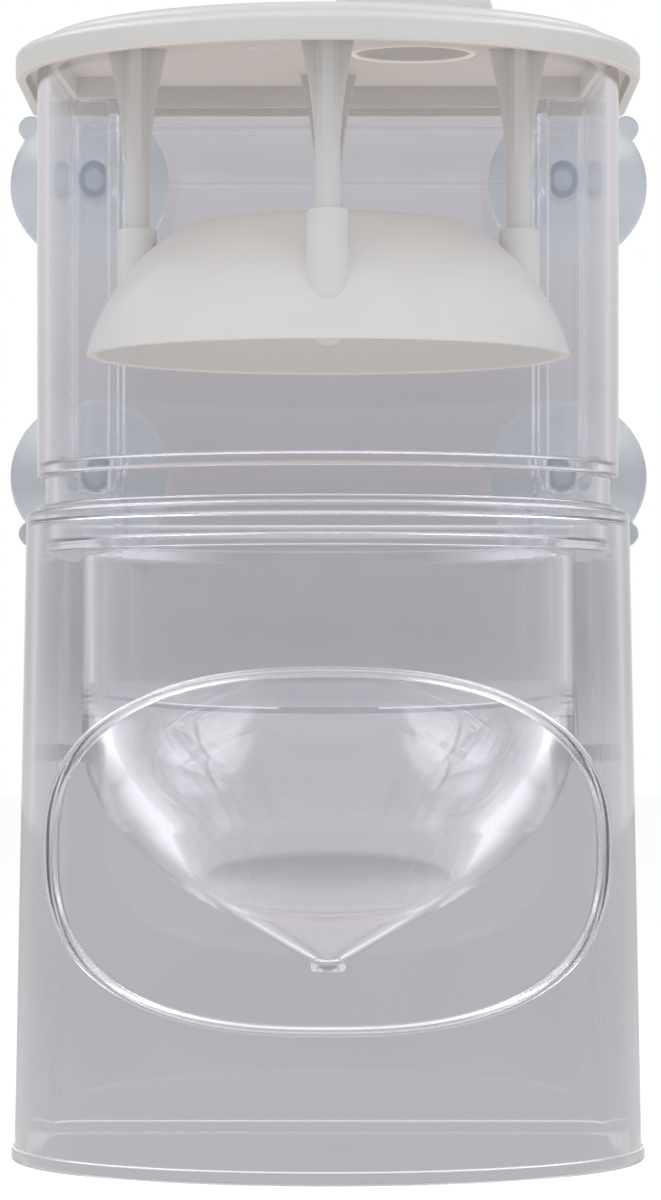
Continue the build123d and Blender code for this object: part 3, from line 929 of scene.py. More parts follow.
@dataclass(frozen=True)
class WhitePlastic(Finish):
    """Satin white moulded plastic with a fine skin and slight unevenness of colour.

    Its underside is painted lighter and warmer, with a faint painted glow, in place of light that
    shines through from above.
    """

    name: str
    colour: tuple[float, float, float] = (0.80, 0.795, 0.79)
    handled: tuple[float, float, float] = (0.775, 0.768, 0.76)
    # underside: painted light, a brighter and warmer colour for faces that look down.
    underside: tuple[float, float, float] = (0.95, 0.85, 0.79)
    # Painted glow: colour and strength of a faint emission on faces that look down, though no lamp
    # is there.
    painted_glow_colour: tuple[float, float, float] = (1.0, 0.82, 0.66)
    painted_glow_strength: float = 0.05
    roughness: float = 0.38
    glow: float = 0.2
    glow_reach: tuple[float, float, float] = (1.0, 0.85, 0.65)
    glow_depth: float = 2.0
    bending: float = 1.49
    # Range of the normal's upward part over which a face gets the painted light.
    painted_light_ends: tuple[float, float] = (-0.2, -0.8)

    def material(self, shared: SurfaceMarks) -> bpy.types.Material:
        """Builds the material.

        Args:
            shared: the groups that all finishes share.

        Returns:
            The new material.
        """
        material, wiring, plastic = self.begin(self.name)
        skin = wiring.add("Group", {
            "Wave Scale": 60.0, "Grain Scale": 1800.0, "Grain Share": 0.12,
            "Roughness": self.roughness, "Roughness Spread": 0.12}, node_tree=shared.skin)
        handled = wiring.add("Group", {"Smudge Scale": 35.0}, node_tree=shared.handling)
        colour = wiring.blended(handled.outputs["Smudge"], self.colour, self.handled)
        # Faces that look down get painted light: the underside colour and a faint painted glow.
        facing = wiring.split(wiring.add("NewGeometry").outputs["True Normal"])[2]
        below = wiring.ramp(facing, *self.painted_light_ends)
        wiring.give(plastic, {
            "IOR": self.bending, "Subsurface Weight": self.glow,
            "Subsurface Radius": self.glow_reach, "Subsurface Scale": self.glow_depth * MM,
            "Base Color": wiring.blended(below, colour, self.underside),
            "Emission Color": wiring.blended(below, BLACK, self.painted_glow_colour),
            "Emission Strength": self.painted_glow_strength,
            "Roughness": skin.outputs["Roughness"],
            "Normal": wiring.relief(skin.outputs["Height"], 0.3, 0.06)})
        return material


@dataclass(frozen=True)
class CupPlastic(Finish):
    """Soft pale-blue see-through plastic, deeper in colour at the thick head."""

    name: str
    tint: tuple[float, float, float] = (0.90, 0.95, 0.975)
    deep: tuple[float, float, float] = (0.20, 0.30, 0.42)
    straight: float = 0.42
    head_ends: tuple[float, float] = (61.4, 59.4)
    head_roughness: float = 0.45
    bending: float = 1.46

    def material(self, shared: SurfaceMarks) -> bpy.types.Material:
        """Builds the material.

        Args:
            shared: the groups that all finishes share.

        Returns:
            The new material.
        """
        material, wiring, plastic = self.begin(self.name)
        near, far = self.head_ends
        head = wiring.ramp(wiring.split(wiring.place())[1], near * MM, far * MM)
        skin = wiring.add("Group", {
            "Wave Scale": 90.0, "Grain Scale": 900.0, "Grain Share": 0.05,
            "Roughness": 0.12, "Roughness Spread": 0.08}, node_tree=shared.skin)
        wiring.give(plastic, {
            "IOR": self.bending, "Transmission Weight": 1.0,
            "Base Color": wiring.blended(head, self.tint, self.deep),
            "Roughness": wiring.mixed(head, skin.outputs["Roughness"], self.head_roughness),
            "Normal": wiring.relief(skin.outputs["Height"], 0.3, 0.04)})
        self.lets_light_in(wiring, plastic, self.tint, self.straight)
        return material


@dataclass
class Assembly:
    """What every sub-assembly knows: its finish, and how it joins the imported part."""

    material: bpy.types.Material

    def dress(self, piece: bpy.types.Object, node: str, slot: str, body: str) -> None:
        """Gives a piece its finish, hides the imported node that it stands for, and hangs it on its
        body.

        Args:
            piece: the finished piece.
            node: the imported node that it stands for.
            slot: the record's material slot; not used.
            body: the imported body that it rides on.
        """
        piece.data.materials.append(self.material)
        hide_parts(node)
        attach(piece, body)
        LOG.info("%s: %d faces, rides on %s", piece.name, len(piece.data.polygons), body)


@dataclass
class Stand(Assembly):
    """Clear U-shaped stand with an oval window, foot bead, flange, ledge and tab."""

    height: float = 142.1
    half: float = 66.4
    back: float = 64.8
    spread: float = 2.7
    corner: float = 6.0
    wall: float = 2.5
    flange_hole: tuple[float, float] = (62.7, 62.1)
    bead: tuple[float, float] = (0.7, 3.0)
    window_half: float = 59.8
    window_tall: float = 38.3
    window_z: float = 69.2
    window_powers: tuple[float, float] = (2.45, 2.65)
    lip_wide: float = 2.2
    lip_proud: float = 1.0
    skirt_back: float = 61.7
    skirt_play: float = 0.4
    ledge_top: float = 91.0
    ledge_half: float = 51.0
    ledge_tall: float = 4.0
    ledge_nose: float = 1.6
    tab_half: float = 12.3
    tab_rise: float = 11.5
    tab_corner: float = 2.5

    def build(self) -> None:
        """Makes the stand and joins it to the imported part."""
        body = self.shell()
        body.cut(self.window_bar(self.lip_wide / 2.0))
        body.join(self.lip())
        for piece in (self.ledge(), self.tab()):
            body.join(piece)
        self.dress(body.finish("clear_stand"), "stand", "clear_stand", "stand")

    def outset(self, height: float) -> float:
        """Gives how far the wall has spread out at a height."""
        return self.spread * (1.0 - height / self.height)

    def shell(self) -> Solid:
        """Sweeps the wall's section round the U, with its flange and foot bead.

        Returns:
            The shell.
        """
        work = bmesh.new()
        out, rise = self.bead
        under = self.height - self.wall
        lip = self.half - self.flange_hole[0]
        foot_in = self.spread - self.wall
        section = [
            (0.0, self.height), (self.outset(rise), rise), (self.spread + out, rise),
            (self.spread + out, 0.0), (foot_in, 0.0), (self.outset(under) - self.wall, under),
            (-lip, under), (-lip, self.height),
        ]
        points = [(-self.half - o, z) for o, z in section]
        pen = Pen(work, Board.PROFILE, *points[0])
        for point in points[1:]:
            pen.run(*point)
        pen.fill()
        eased(work, {points[0]: 0.9, points[2]: 0.5, points[3]: 0.8, points[4]: 0.5,
                     points[6]: 0.5, points[7]: 0.9, points[5]: 0.6})
        ring = self.swept(work)
        low = self.back - self.corner
        narrow = (self.flange_hole[1] - low) / (self.corner - lip)
        for vert in ring.work.verts:
            deep = self.back - self.wall / 2.0
            if vert.co.z > under - 0.1 and low < vert.co.y < deep - 0.9:
                vert.co.y = low + (vert.co.y - low) * narrow
        return ring

    def swept(self, work: bmesh.types.BMesh) -> Solid:
        """Carries a closed section round the front, sides, corners and back.

        Args:
            work: the mesh with the section.

        Returns:
            The closed ring.
        """
        centre = self.half - self.corner
        low = self.back - self.corner
        last = work.verts[:] + work.edges[:]
        legs = (
            ("turn", (0.0, 0.0), 180.0, 90), ("go", (0.0, low), 0.0, 1),
            ("turn", (centre, low), 90.0, 12), ("go", (-2.0 * centre, 0.0), 0.0, 1),
            ("turn", (-centre, low), 90.0, 12), ("go", (0.0, -low), 0.0, 1),
        )
        for kind, place, degrees, steps in legs:
            if kind == "turn":
                made = bmesh.ops.spin(work, geom=last, cent=(*place, 0.0), axis=(0.0, 0.0, 1.0),
                                      angle=math.radians(degrees), steps=steps)
                last = made["geom_last"]
                continue
            edges = [e for e in last if isinstance(e, bmesh.types.BMEdge)]
            made = bmesh.ops.extrude_edge_only(work, edges=edges)
            last = [e for e in made["geom"] if not isinstance(e, bmesh.types.BMFace)]
            verts = [v for v in last if isinstance(v, bmesh.types.BMVert)]
            bmesh.ops.translate(work, verts=verts, vec=(*place, 0.0))
        return Solid(work).settle()

    def outline_point(self, angle: float, inset: float) -> tuple[float, float]:
        """Gives a point of the window's outline as seen from the front.

        Args:
            angle: the point's angle round the window, in radians.
            inset: how far it lies inside the outer edge.

        Returns:
            Its place, across and up.
        """
        power = self.window_powers[0] if math.sin(angle) >= 0.0 else self.window_powers[1]
        across = math.copysign(abs(math.cos(angle)) ** (2.0 / power), math.cos(angle))
        up = math.copysign(abs(math.sin(angle)) ** (2.0 / power), math.sin(angle))
        return ((self.window_half - inset) * across,
                self.window_z + (self.window_tall - inset) * up)

    def outline_angles(self, count: int = 144) -> list[float]:
        """Spaces angles so that the outline's points lie evenly.

        Args:
            count: number of points.

        Returns:
            The angles, in radians.
        """
        fine = [self.outline_point(2.0 * math.pi * i / 4000, 0.0) for i in range(4001)]
        lengths = [0.0]
        for a, b in zip(fine, fine[1:]):
            lengths.append(lengths[-1] + math.dist(a, b))
        angles, at = [], 0
        for i in range(count):
            while lengths[at] < lengths[-1] * i / count:
                at += 1
            angles.append(2.0 * math.pi * at / 4000)
        return angles

    def window_bar(self, inset: float) -> Solid:
        """Makes the bar that cuts the window out of the front wall.

        Args:
            inset: how far it lies inside the lip's outer edge.

        Returns:
            The bar.
        """
        angles = self.outline_angles()
        work = bmesh.new()
        circle = bmesh.ops.create_circle(work, cap_ends=True, segments=len(angles), radius=1.0)
        for vert, angle in zip(circle["verts"], angles):
            across, up = self.outline_point(angle, inset)
            vert.co = (across, -90.0, up)
        return pulled(work, work.faces[:], (0.0, 75.0, 0.0))

    def lip_section(self) -> list[tuple[float, float]]:
        """Gives the lip's section as inset from its edge and height off the wall.

        Its crown lies near the outer edge, and a slanted face falls to the opening.

        Returns:
            The section's points, front first.
        """
        share = ((0.0, 0.0), (0.05, 0.55), (0.14, 0.85), (0.27, 1.0), (0.41, 0.93),
                 (0.86, 0.46), (0.95, 0.27), (1.0, -0.08))
        front = [(self.lip_wide * across, self.lip_proud * up) for across, up in share]
        back = [(across, -self.wall - up) for across, up in reversed(front)]
        return front + back

    def lip(self) -> Solid:
        """Makes the raised lip, wrapped onto the curved front wall.

        Returns:
            The lip.
        """
        angles = self.outline_angles()
        section = self.lip_section()
        work = bmesh.new()
        circle = bmesh.ops.create_circle(work, segments=len(angles), radius=1.0)
        rings = [circle["verts"]]
        for _ in section[1:]:
            near = rings[-1]
            count = len(near)
            edges = [work.edges.get((near[i], near[(i + 1) % count])) for i in range(count)]
            made = bmesh.ops.extrude_edge_only(work, edges=edges)
            fresh = {v for v in made["geom"] if isinstance(v, bmesh.types.BMVert)}
            rings.append([next(e.other_vert(v) for e in v.link_edges if e.other_vert(v) in fresh)
                          for v in near])
        for ring, (inset, off) in zip(rings, section):
            for vert, angle in zip(ring, angles):
                across, up = self.outline_point(angle, inset)
                radius = self.half + self.outset(up) + off
                vert.co = (across, -math.sqrt(max(radius ** 2 - across ** 2, 1.0)), up)
        loose = [e for e in work.edges if e.is_boundary]
        bmesh.ops.bridge_loops(work, edges=loose)
        return Solid(work).settle()

    def ledge(self) -> Solid:
        """Makes the ledge that the tank's skirt stands on.

        Returns:
            The ledge.
        """
        front = self.skirt_back - 2.0 * self.wall - self.skirt_play
        face = self.back - self.wall / 2.0 + self.skirt_play
        bar = block((-self.ledge_half, self.ledge_half), (front, face),
                    (self.ledge_top - self.ledge_tall, self.ledge_top))
        nose = [e for e in bar.work.edges if all(v.co.y < front + SMALL for v in e.verts)
                and abs(e.verts[0].co.z - e.verts[1].co.z) < SMALL]
        return bar.rounded(nose, self.ledge_nose, 6)

    def tab(self) -> Solid:
        """Makes the round-cornered tab that keeps the skirt in place.

        Returns:
            The tab.
        """
        back = self.skirt_back - self.wall - self.skirt_play
        half, low, high = self.tab_half, self.ledge_top - 1.0, self.ledge_top + self.tab_rise
        plate = block((-half, half), (back - self.wall, back), (low, high))
        corners = [e for e in plate.work.edges
                   if all(v.co.z > high - SMALL for v in e.verts)
                   and abs(e.verts[0].co.x - e.verts[1].co.x) < SMALL]
        plate.rounded(corners, self.tab_corner, 6)
        outline = [e for e in plate.work.edges if e.calc_face_angle(0.0) > 1.2
                   and max(v.co.z for v in e.verts) > low + 0.5]
        return plate.rounded(outline, 0.4, 2)


@dataclass
class HatchingTank(Assembly):
    """Clear U-shaped tank with two dry columns, a shoulder, a neck and a pointed bowl."""

    half: float = 64.1
    back: float = 61.7
    corner: float = 4.0
    top: float = 241.0
    shoulder: float = 149.5
    wall: float = 2.5
    neck_half: float = 62.3
    floor_top: float = 135.5
    skirt_bottom: float = 91.0
    bead: tuple[float, float, float] = (64.0, 142.1, 143.5)
    column: tuple[float, float] = (51.4, 44.2)
    notch: tuple[float, float] = (49.0, 41.8)
    cup_heights: tuple[float, float] = (222.3, 153.8)
    cup_x: float = 56.5
    cup_hole: float = 2.7
    bowl_radius: float = 54.6
    bowl_outer: tuple[float, ...] = (35.5, 40.0, 0.5, 68.5, 29.0)
    bowl_inner: tuple[float, ...] = (41.3, 44.5, 19.0, 60.0, 33.0)
    mouth_ease: float = 0.3
    tip_z: float = 43.4
    tip_radius: float = 3.8
    tip_boss: float = 2.4
    tip_floor: float = 1.7
    inner_tip_radius: float = 2.6
    fill_line: tuple[float, float, float] = (41.5, 220.8, 222.2)
    back_rib: tuple[float, float, float] = (59.6, 232.9, 235.3)

    def build(self) -> None:
        """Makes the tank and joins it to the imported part."""
        body = self.outer_box()
        for part in (self.neck(), self.seat_bead(), self.skirt(), self.bowl_outside()):
            body.join(part)
        for room in (self.water_room(), self.neck_room(), self.bowl_inside()):
            body.cut(room)
        body.cut(self.column_rooms())
        body.cut(self.cup_holes())
        for mark in self.back_marks():
            body.join(mark)
        self.dress(body.finish("clear_hatching_tank"), "hatching_tank", "clear_tank", "tank")

    def outer_box(self) -> Solid:
        """Makes the upper box with its rounded rim and shoulder.

        Returns:
            The box.
        """
        box = u_block(self.half, self.back, self.corner, self.shoulder, self.top)
        box.softened(self.top, 0.7)
        return box.softened(self.shoulder, 0.9)

    def water_room(self) -> Solid:
        """Makes the room for water above the shoulder.

        Returns:
            The room.
        """
        room = notched_block(self.half - self.wall, self.back - self.wall, self.notch,
                             self.shoulder + self.wall, self.top + 4.0)
        room.rounded(room.upright_corners(), 0.8)
        return room.softened(self.shoulder + self.wall, 0.8)

    def neck(self) -> Solid:
        """Makes the neck that drops into the stand.

        Returns:
            The neck.
        """
        low = self.floor_top - self.wall
        neck = notched_block(self.neck_half, self.back, self.column, low, self.shoulder + 1.2)
        return neck.softened(low, 0.3)

    def neck_room(self) -> Solid:
        """Makes the water's room inside the neck.

        Returns:
            The room.
        """
        room = notched_block(self.neck_half - self.wall, self.back - self.wall, self.notch,
                             self.floor_top, self.shoulder + self.wall + 1.5)
        return room.softened(self.floor_top, 0.3)

    def seat_bead(self) -> Solid:
        """Makes the bead that rests on the stand's flange.

        Returns:
            The bead.
        """
        half, low, high = self.bead
        strokes = [("arc", 0.0, 0.0, 180.0), ("run", half, self.notch[1] - 0.1, 0.0),
                   ("run", -half, self.notch[1] - 0.1, 0.0)]
        bead = prism((-half, 0.0), strokes, low, high)
        bead.softened(high, 0.5)
        return bead.softened(low, 0.3)

    def skirt(self) -> Solid:
        """Makes the plate that hangs behind the bowl."""
        return block((-self.column[0] + 0.02, self.column[0] - 0.02),
                     (self.back - self.wall + 0.02, self.back - 0.02),
                     (self.skirt_bottom, self.floor_top - 0.6), 0.45)

    def bowl_outside(self) -> Solid:
        """Makes the bowl's outside, with the small boss at its tip.

        Returns:
            The bowl.
        """
        work = bmesh.new()
        pen = Pen(work, Board.PROFILE, 0.0, self.floor_top - 0.5)
        pen.run(self.bowl_radius, self.floor_top - 0.5)
        self.trace_bowl(pen, self.bowl_radius, self.tip_radius, self.tip_z,
                        self.bowl_outer)
        low, wide = self.tip_z - self.tip_boss, self.tip_radius
        pen.trace([("run", wide, low + 0.6, 0.0), ("arc", wide - 0.6, low + 0.6, 90.0),
                   ("run", 1.6, low, 0.0), ("run", 1.6, low + 0.8, 0.0),
                   ("run", 0.0, low + 0.8, 0.0)])
        return lathe(work, 144)

    def bowl_inside(self) -> Solid:
        """Makes the room inside the bowl, with an eased mouth.

        Returns:
            The room.
        """
        work = bmesh.new()
        radius = self.bowl_radius - self.wall
        high, tip_z, ease = self.floor_top + 2.0, self.tip_z + self.tip_floor, self.mouth_ease
        pen = Pen(work, Board.PROFILE, 0.0, high)
        pen.trace([("run", radius + ease, high, 0.0),
                   ("run", radius + ease, self.floor_top + 0.02, 0.0),
                   ("arc", radius + ease, self.floor_top - ease + 0.02, -90.0)])
        self.trace_bowl(pen, radius, self.inner_tip_radius, tip_z, self.bowl_inner)
        pen.run(0.0, tip_z)
        return lathe(work, 144)

    @staticmethod
    def trace_bowl(pen: Pen, radius: float, tip_radius: float, tip_z: float,
                   curve: tuple[float, ...]) -> None:
        """Draws one of the bowl's two curves down to its tip.

        Args:
            pen: the pen, which is above the curve's start.
            radius: radius of the upright wall.
            tip_radius: radius at the tip.
            tip_z: height of the tip.
            curve: shoulder arc and its turn, flank, nose arc and the cone's slope.
        """
        shoulder, turned, flank, nose, slope = curve
        turn, last = math.radians(turned), math.radians(90.0 - slope)
        inward = shoulder * (1.0 - math.cos(turn)) + flank * math.sin(turn)
        inward += nose * (math.cos(turn) - math.cos(last))
        drop = shoulder * math.sin(turn) + flank * math.cos(turn)
        drop += nose * (math.sin(last) - math.sin(turn))
        drop += (radius - inward - tip_radius) * math.tan(math.radians(slope))
        start = tip_z + drop
        pen.run(radius, start)
        pen.arc(radius - shoulder, start, turned)
        across, up = pen.drawn()
        across, up = across - flank * math.sin(turn), up - flank * math.cos(turn)
        pen.run(across, up)
        pen.arc(across - nose * math.cos(turn), up + nose * math.sin(turn), 90.0 - slope - turned)
        pen.run(tip_radius, tip_z)

    def column_rooms(self) -> Solid:
        """Makes the rooms of both dry columns, open above and below.

        Returns:
            Both rooms.
        """
        inner_x, inner_y = self.column
        outer_x, outer_y = self.half - self.wall, self.back - self.wall
        rooms = Solid()
        for side in (-1.0, 1.0):
            span = sorted((side * inner_x, side * outer_x))
            room = block((span[0], span[1]), (inner_y, outer_y),
                         (self.shoulder - 12.0, self.top + 4.0))
            rooms.beside(room.rounded(room.upright_corners(), 1.0))
        return rooms

    def cup_holes(self) -> Solid:
        """Makes the four holes that the cups' necks pass through.

        Returns:
            All four holes.
        """
        holes = Solid()
        for side in (-1.0, 1.0):
            for height in self.cup_heights:
                hole = rod(self.cup_hole, -5.0, 5.0).turned(90.0, "X")
                holes.beside(hole.moved(side * self.cup_x, self.back, height))
        return holes

    def back_marks(self) -> list[Solid]:
        """Makes the fill line and the stiffening rib on the back wall.

        Returns:
            The line and the rib.
        """
        marks = []
        for (half, low, high), proud, radius in ((self.fill_line, 0.5, 0.3),
                                                 (self.back_rib, 1.2, 0.45)):
            depth = (self.back - 0.6, self.back + proud)
            marks.append(block((-half, half), depth, (low, high), radius))
        return marks


@dataclass
class Lid(Assembly):
    """White lid with a skirt, raised panel, locating rib, filler collar and four posts."""

    half: float = 68.8
    back: float = 64.3
    corner: float = 7.0
    skirt_wall: float = 2.2
    skirt_bottom: float = 237.4
    seat: float = 241.0
    rim_top: float = 243.6
    ceiling: float = 243.8
    top: float = 246.2
    edge: float = 2.0
    panel: tuple[float, float, float] = (63.0, 60.2, 4.0)
    cavity: tuple[float, float, float] = (60.6, 57.8, 2.0)
    rib_outside: tuple[float, float, tuple[float, float]] = (61.2, 58.8, (48.6, 41.4))
    rib_inside: tuple[float, float, tuple[float, float]] = (59.4, 57.0, (46.8, 39.6))
    filler: tuple[float, float, float] = (18.8, 4.0, 14.3)
    collar_wall: float = 1.6
    collar_rise: float = 5.0
    airline: tuple[float, float, float] = (-14.6, -6.0, 3.5)
    corner_hole: tuple[float, float, float] = (56.5, 47.5, 2.5)
    post_circle: float = 41.9
    posts_forward: float = 4.5
    rod_radius: float = 2.75
    rod_end: float = 186.6
    flare_half: float = 6.5
    flare_thick: float = 2.6
    flare_waist: tuple[float, float] = (4.0, 12.3)
    flare_drop: float = 24.0

    def build(self) -> None:
        """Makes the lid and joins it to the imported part."""
        body = u_block(self.half, self.back, self.corner, self.skirt_bottom, self.rim_top)
        body.softened(self.rim_top, self.edge, 6)
        body.softened(self.skirt_bottom, 0.5)
        under = u_block(self.half - self.skirt_wall, self.back - self.skirt_wall,
                        self.corner - self.skirt_wall, self.skirt_bottom - 3.0, self.seat)
        body.cut(under.softened(self.seat, 0.5))
        panel = u_block(*self.panel, self.rim_top - 1.0, self.top)
        body.join(panel.softened(self.top, self.edge, 6))
        cavity = u_block(*self.cavity, self.seat - 2.0, self.ceiling)
        body.cut(cavity.softened(self.ceiling, 0.6))
        body.join(self.rib())
        body.join(self.collar())
        for hole in self.holes():
            body.cut(hole)
        post = self.post()
        for turn in (0.0, 90.0, 180.0, 270.0):
            spot = post.copy().moved(x=self.post_circle).turned(turn, "Z")
            body.join(spot.moved(y=-self.posts_forward))
        self.dress(body.finish("white_lid"), "lid", "white_lid", "lid")

    def rib(self) -> Solid:
        """Makes the locating rib that drops inside the tank's rim.

        Returns:
            The rib.
        """
        low, high = self.seat - 2.0, self.ceiling + 1.2
        rib = notched_block(*self.rib_outside, low, high)
        rib.softened(low, 0.4)
        return rib.cut(notched_block(*self.rib_inside, low - 1.0, high + 1.0))

    def collar(self) -> Solid:
        """Makes the filler's collar.

        Returns:
            The collar.
        """
        x, y, radius = self.filler
        high = self.top + self.collar_rise
        collar = rod(radius + self.collar_wall, self.ceiling + 0.1, high)
        return collar.softened(high, 0.5).moved(x, y)

    def holes(self) -> list[Solid]:
        """Makes the holes for the filler, the air hose and the two columns.

        Returns:
            The four holes.
        """
        low, high = self.ceiling - 3.0, self.top + 8.0
        made = [rod(radius, low, high).moved(x, y) for x, y, radius in (self.filler, self.airline)]
        x, y, radius = self.corner_hole
        made += [rod(radius, low - 3.0, high).moved(side * x, y) for side in (-1.0, 1.0)]
        return made

    def post(self) -> Solid:
        """Makes one post: a round rod with four flared ribs at its root.

        Returns:
            The post.
        """
        root = self.ceiling + 1.2
        post = rod(self.rod_radius, self.rod_end, root)
        post.softened(self.rod_end, 1.2, 5)
        for turn in (0.0, 90.0):
            post.join(self.flare(root).turned(turn, "Z"))
        return post

    def flare(self, root: float) -> Solid:
        """Makes one pair of flared ribs as a flat plate with curved sides.

        Args:
            root: height of its hidden upper end.

        Returns:
            The plate.
        """
        work = bmesh.new()
        low, edge = self.ceiling - self.flare_drop, self.flare_half
        waist, waist_z = self.flare_waist[0], self.ceiling - self.flare_waist[1]
        pen = Pen(work, Board.PROFILE, -edge, root)
        pen.run(-edge, self.ceiling)
        self.through(pen, (-waist, waist_z), (-self.rod_radius, low))
        pen.run(self.rod_radius, low)
        self.through(pen, (waist, waist_z), (edge, self.ceiling))
        pen.run(edge, root)
        thick = self.flare_thick
        plate = pulled(work, [pen.fill()], (0.0, thick, 0.0)).moved(y=-thick / 2.0)
        long = [e for e in plate.work.edges
                if abs(e.verts[0].co.y - e.verts[1].co.y) < SMALL
                and min(v.co.z for v in e.verts) < self.ceiling - 0.1
                and e.verts[0].co.z != e.verts[1].co.z]
        return plate.rounded(long, 0.45, 2)

    @staticmethod
    def through(pen: Pen, middle: tuple[float, float], end: tuple[float, float]) -> None:
        """Draws an arc through a middle point to an end point.

        Args:
            pen: the pen, at the arc's start.
            middle: a point on the arc.
            end: the arc's end.
        """
        ax, ay = pen.drawn()
        bx, by = middle
        cx, cy = end
        d = 2.0 * (ax * (by - cy) + bx * (cy - ay) + cx * (ay - by))
        a2, b2, c2 = ax * ax + ay * ay, bx * bx + by * by, cx * cx + cy * cy
        ux = (a2 * (by - cy) + b2 * (cy - ay) + c2 * (ay - by)) / d
        uy = (a2 * (cx - bx) + b2 * (ax - cx) + c2 * (bx - ax)) / d
        first, last = math.atan2(ay - uy, ax - ux), math.atan2(cy - uy, cx - ux)
        turn = math.remainder(last - first, 2.0 * math.pi)
        pen.arc(ux, uy, -math.degrees(turn))


@dataclass
class FillerCap(Assembly):
    """White hollow knob that closes the lid's filler."""

    place: tuple[float, float] = (18.8, 4.0)
    radius: float = 17.7
    low: float = 246.2
    high: float = 258.2
    edge: float = 4.5

    def build(self) -> None:
        """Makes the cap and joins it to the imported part."""
        work = bmesh.new()
        pen = Pen(work, Board.PROFILE, 0.0, 256.2)
        pen.trace([
            ("run", 10.1, 256.2, 0.0), ("arc", 10.1, 253.7, 90.0), ("run", 12.6, 244.2, 0.0),
            ("run", 13.0, 243.8, 0.0), ("run", 13.8, 243.8, 0.0), ("run", 14.2, 244.2, 0.0),
            ("run", 14.2, 251.6, 0.0), ("run", 16.0, 251.6, 0.0), ("run", 16.0, 246.6, 0.0),
            ("run", 16.3, self.low, 0.0), ("run", self.radius - 0.5, self.low, 0.0),
            ("arc", self.radius - 0.5, self.low + 0.5, -90.0),
            ("run", self.radius, self.high - self.edge, 0.0),
            ("arc", self.radius - self.edge, self.high - self.edge, -90.0),
            ("run", 0.0, self.high, 0.0),
        ])
        cap = lathe(work, 112).moved(*self.place)
        self.dress(cap.finish("white_filler_cap"), "filler_cap", "white_lid", "cap")


@dataclass
class SplashDome(Assembly):
    """White flat-crowned dome with four sockets that the posts push into."""

    radius: float = 53.4
    rim: float = 176.6
    top: float = 207.2
    crown: tuple[float, float] = (26.0, 0.8)
    brow: tuple[float, float] = (34.0, 3.4)
    wall: float = 2.0
    socket_radius: float = 4.3
    socket_top: float = 204.4
    socket_bottom: float = 182.2
    bore_radius: float = 2.8
    bore_floor: float = 186.1
    post_circle: float = 41.9
    posts_forward: float = 4.5
    airline: tuple[float, float, float] = (-14.6, -6.0, 3.5)

    def build(self) -> None:
        """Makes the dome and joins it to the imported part."""
        body = self.shell()
        places = [Matrix.Rotation(math.radians(turn), 4, "Z") @ Vector((self.post_circle, 0, 0))
                  for turn in (0.0, 90.0, 180.0, 270.0)]
        for place in places:
            body.join(self.socket().moved(place.x, place.y - self.posts_forward))
        for place in places:
            bore = rod(self.bore_radius, self.bore_floor, self.socket_top + 2.0)
            body.cut(bore.moved(place.x, place.y - self.posts_forward))
        x, y, radius = self.airline
        body.cut(rod(radius, self.top - 6.0, self.top + 2.0).moved(x, y))
        self.dress(body.finish("white_splash_dome"), "splash_dome", "white_dome", "dome")

    def shell(self) -> Solid:
        """Turns the dome's outer curve and gives it a wall.

        Returns:
            The dome's shell.
        """
        work = bmesh.new()
        pen = Pen(work, Board.PROFILE, 0.0, self.top)
        heading = 0.0
        for radius, height in ((self.crown[0], self.top - self.crown[1]),
                               (self.brow[0], self.top - self.brow[1]),
                               (self.radius, self.rim)):
            heading = pen.arc_to(radius, height, heading)
        pen.run(self.radius + 3.0 * math.cos(heading), self.rim + 3.0 * math.sin(heading))
        shell = lathe(work, 128)
        bmesh.ops.solidify(shell.work, geom=shell.work.faces[:], thickness=self.wall)
        everything = shell.work.verts[:] + shell.work.edges[:] + shell.work.faces[:]
        bmesh.ops.bisect_plane(shell.work, geom=everything, plane_co=(0.0, 0.0, self.rim),
                               plane_no=(0.0, 0.0, 1.0), clear_inner=True)
        bmesh.ops.bridge_loops(shell.work, edges=[e for e in shell.work.edges if e.is_boundary])
        shell.settle()
        rims = [e for e in shell.level_edges(self.rim) if e.calc_face_angle(0.0) > 0.5]
        return shell.rounded(rims, 0.35, 3)

    def socket(self) -> Solid:
        """Makes one socket: a round post hole's outside with a rounded foot.

        Returns:
            The socket.
        """
        work = bmesh.new()
        radius, ball = self.socket_radius, self.socket_bottom + self.socket_radius
        pen = Pen(work, Board.PROFILE, 0.0, self.socket_top)
        pen.trace([("run", radius - 0.5, self.socket_top, 0.0),
                   ("arc", radius - 0.5, self.socket_top - 0.5, 90.0),
                   ("run", radius, ball, 0.0), ("arc", 0.0, ball, 90.0)])
        return lathe(work, 48)


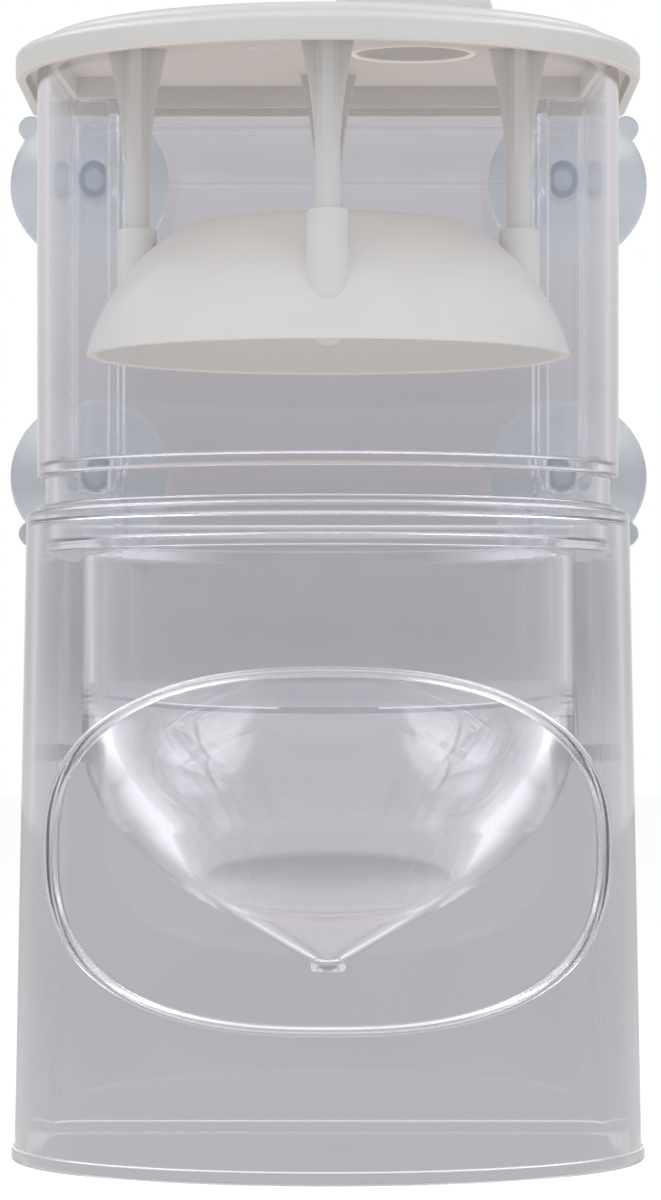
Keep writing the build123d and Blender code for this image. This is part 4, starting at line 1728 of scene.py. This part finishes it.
@dataclass
class SuctionCup(Assembly):
    """Soft cup with a stem head in the column's wall and a pull tab."""

    level: str
    side: float
    height: float
    pull: float
    cup_x: float = 56.5
    face: float = 61.9
    radius: float = 18.25
    depth: float = 8.4

    def build(self) -> None:
        """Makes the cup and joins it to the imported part."""
        side_name = "left" if self.side < 0.0 else "right"
        label = f"{self.level}_{side_name}"
        work = bmesh.new()
        rim = self.depth
        pen = Pen(work, Board.PROFILE, 0.0, 5.9)
        pen.trace([("run", 3.5, 5.9, 0.0), ("arc", 3.5, 5.1, 90.0), ("run", 4.3, 3.5, 0.0),
                   ("arc", 3.7, 3.5, 90.0), ("run", 2.6, 2.9, 0.0), ("run", 2.6, 0.0, 0.0),
                   ("run", 5.6, 0.0, 0.0), ("arc", 5.6, -0.4, 90.0), ("run", 6.0, -2.2, 0.0)])
        Lid.through(pen, (self.radius * 0.72, -rim * 0.58), (self.radius, 0.9 - rim))
        pen.run(self.radius, 0.3 - rim)
        pen.arc(self.radius - 0.3, 0.3 - rim, 90.0)
        pen.run(self.radius - 0.9, -rim)
        Lid.through(pen, (self.radius * 0.6, -rim * 0.68), (0.0, -3.2))
        cup = lathe(work, 96)
        cup.join(self.pull_tab())
        cup.turned(90.0, "X").moved(self.side * self.cup_x, self.face, self.height)
        piece = cup.finish("soft_cup_" + label)
        self.dress(piece, "suction_cup_" + label, "cup_soft", "cup_" + label)

    def pull_tab(self) -> Solid:
        """Makes the tab that a finger lifts, at the cup's rim.

        Returns:
            The tab.
        """
        reach = self.radius + 3.6 - 3.0
        root = self.radius - 0.9
        strokes = [("run", reach, -3.0, 0.0), ("arc", reach, 0.0, 180.0), ("run", root, 3.0, 0.0)]
        tab = prism((root, -3.0), strokes, -self.depth, 1.6 - self.depth)
        tab.rounded(tab.level_edges(-self.depth) + tab.level_edges(1.6 - self.depth), 0.35, 2)
        return tab.turned(self.pull, "Z")


def main() -> None:
    """Builds the studio and every piece in order."""
    logging.basicConfig(level=logging.INFO, format="%(name)s: %(message)s")
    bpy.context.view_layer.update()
    scene = bpy.context.scene
    scene.view_settings.view_transform = "Standard"
    scene.cycles.max_bounces = scene.cycles.transmission_bounces = BOUNCES
    scene.cycles.transparent_max_bounces = BOUNCES
    scene.cycles.glossy_bounces = GLOSSY_BOUNCES
    Studio().build()
    shared = SurfaceMarks()
    # The lid and cap get a darker copy of the dome's white: painted shade, because they sit right
    # under the lamps while the dome is lit through the tank.
    lid_painted_shade_colours = {"colour": (0.735, 0.73, 0.722), "handled": (0.712, 0.705, 0.696)}
    lid_white = WhitePlastic("white_lid_plastic", **lid_painted_shade_colours)
    # The cap's hollow gets a stronger painted glow.
    cap_white = WhitePlastic("white_cap_plastic", **lid_painted_shade_colours, painted_glow_strength=0.26)
    Stand(StandPlastic("clear_stand_plastic").material(shared)).build()
    HatchingTank(ClearPlastic("clear_tank_plastic").material(shared)).build()
    Lid(lid_white.material(shared)).build()
    FillerCap(cap_white.material(shared)).build()
    SplashDome(WhitePlastic("white_plastic").material(shared)).build()
    soft = CupPlastic("soft_cup").material(shared)
    for side in (-1.0, 1.0):
        for level, height, tilt in (("upper", 222.3, 45.0), ("lower", 153.8, -45.0)):
            pull = tilt if side > 0.0 else 180.0 - tilt
            SuctionCup(soft, level, side, height, pull).build()


if __name__ == "__main__":
    main()
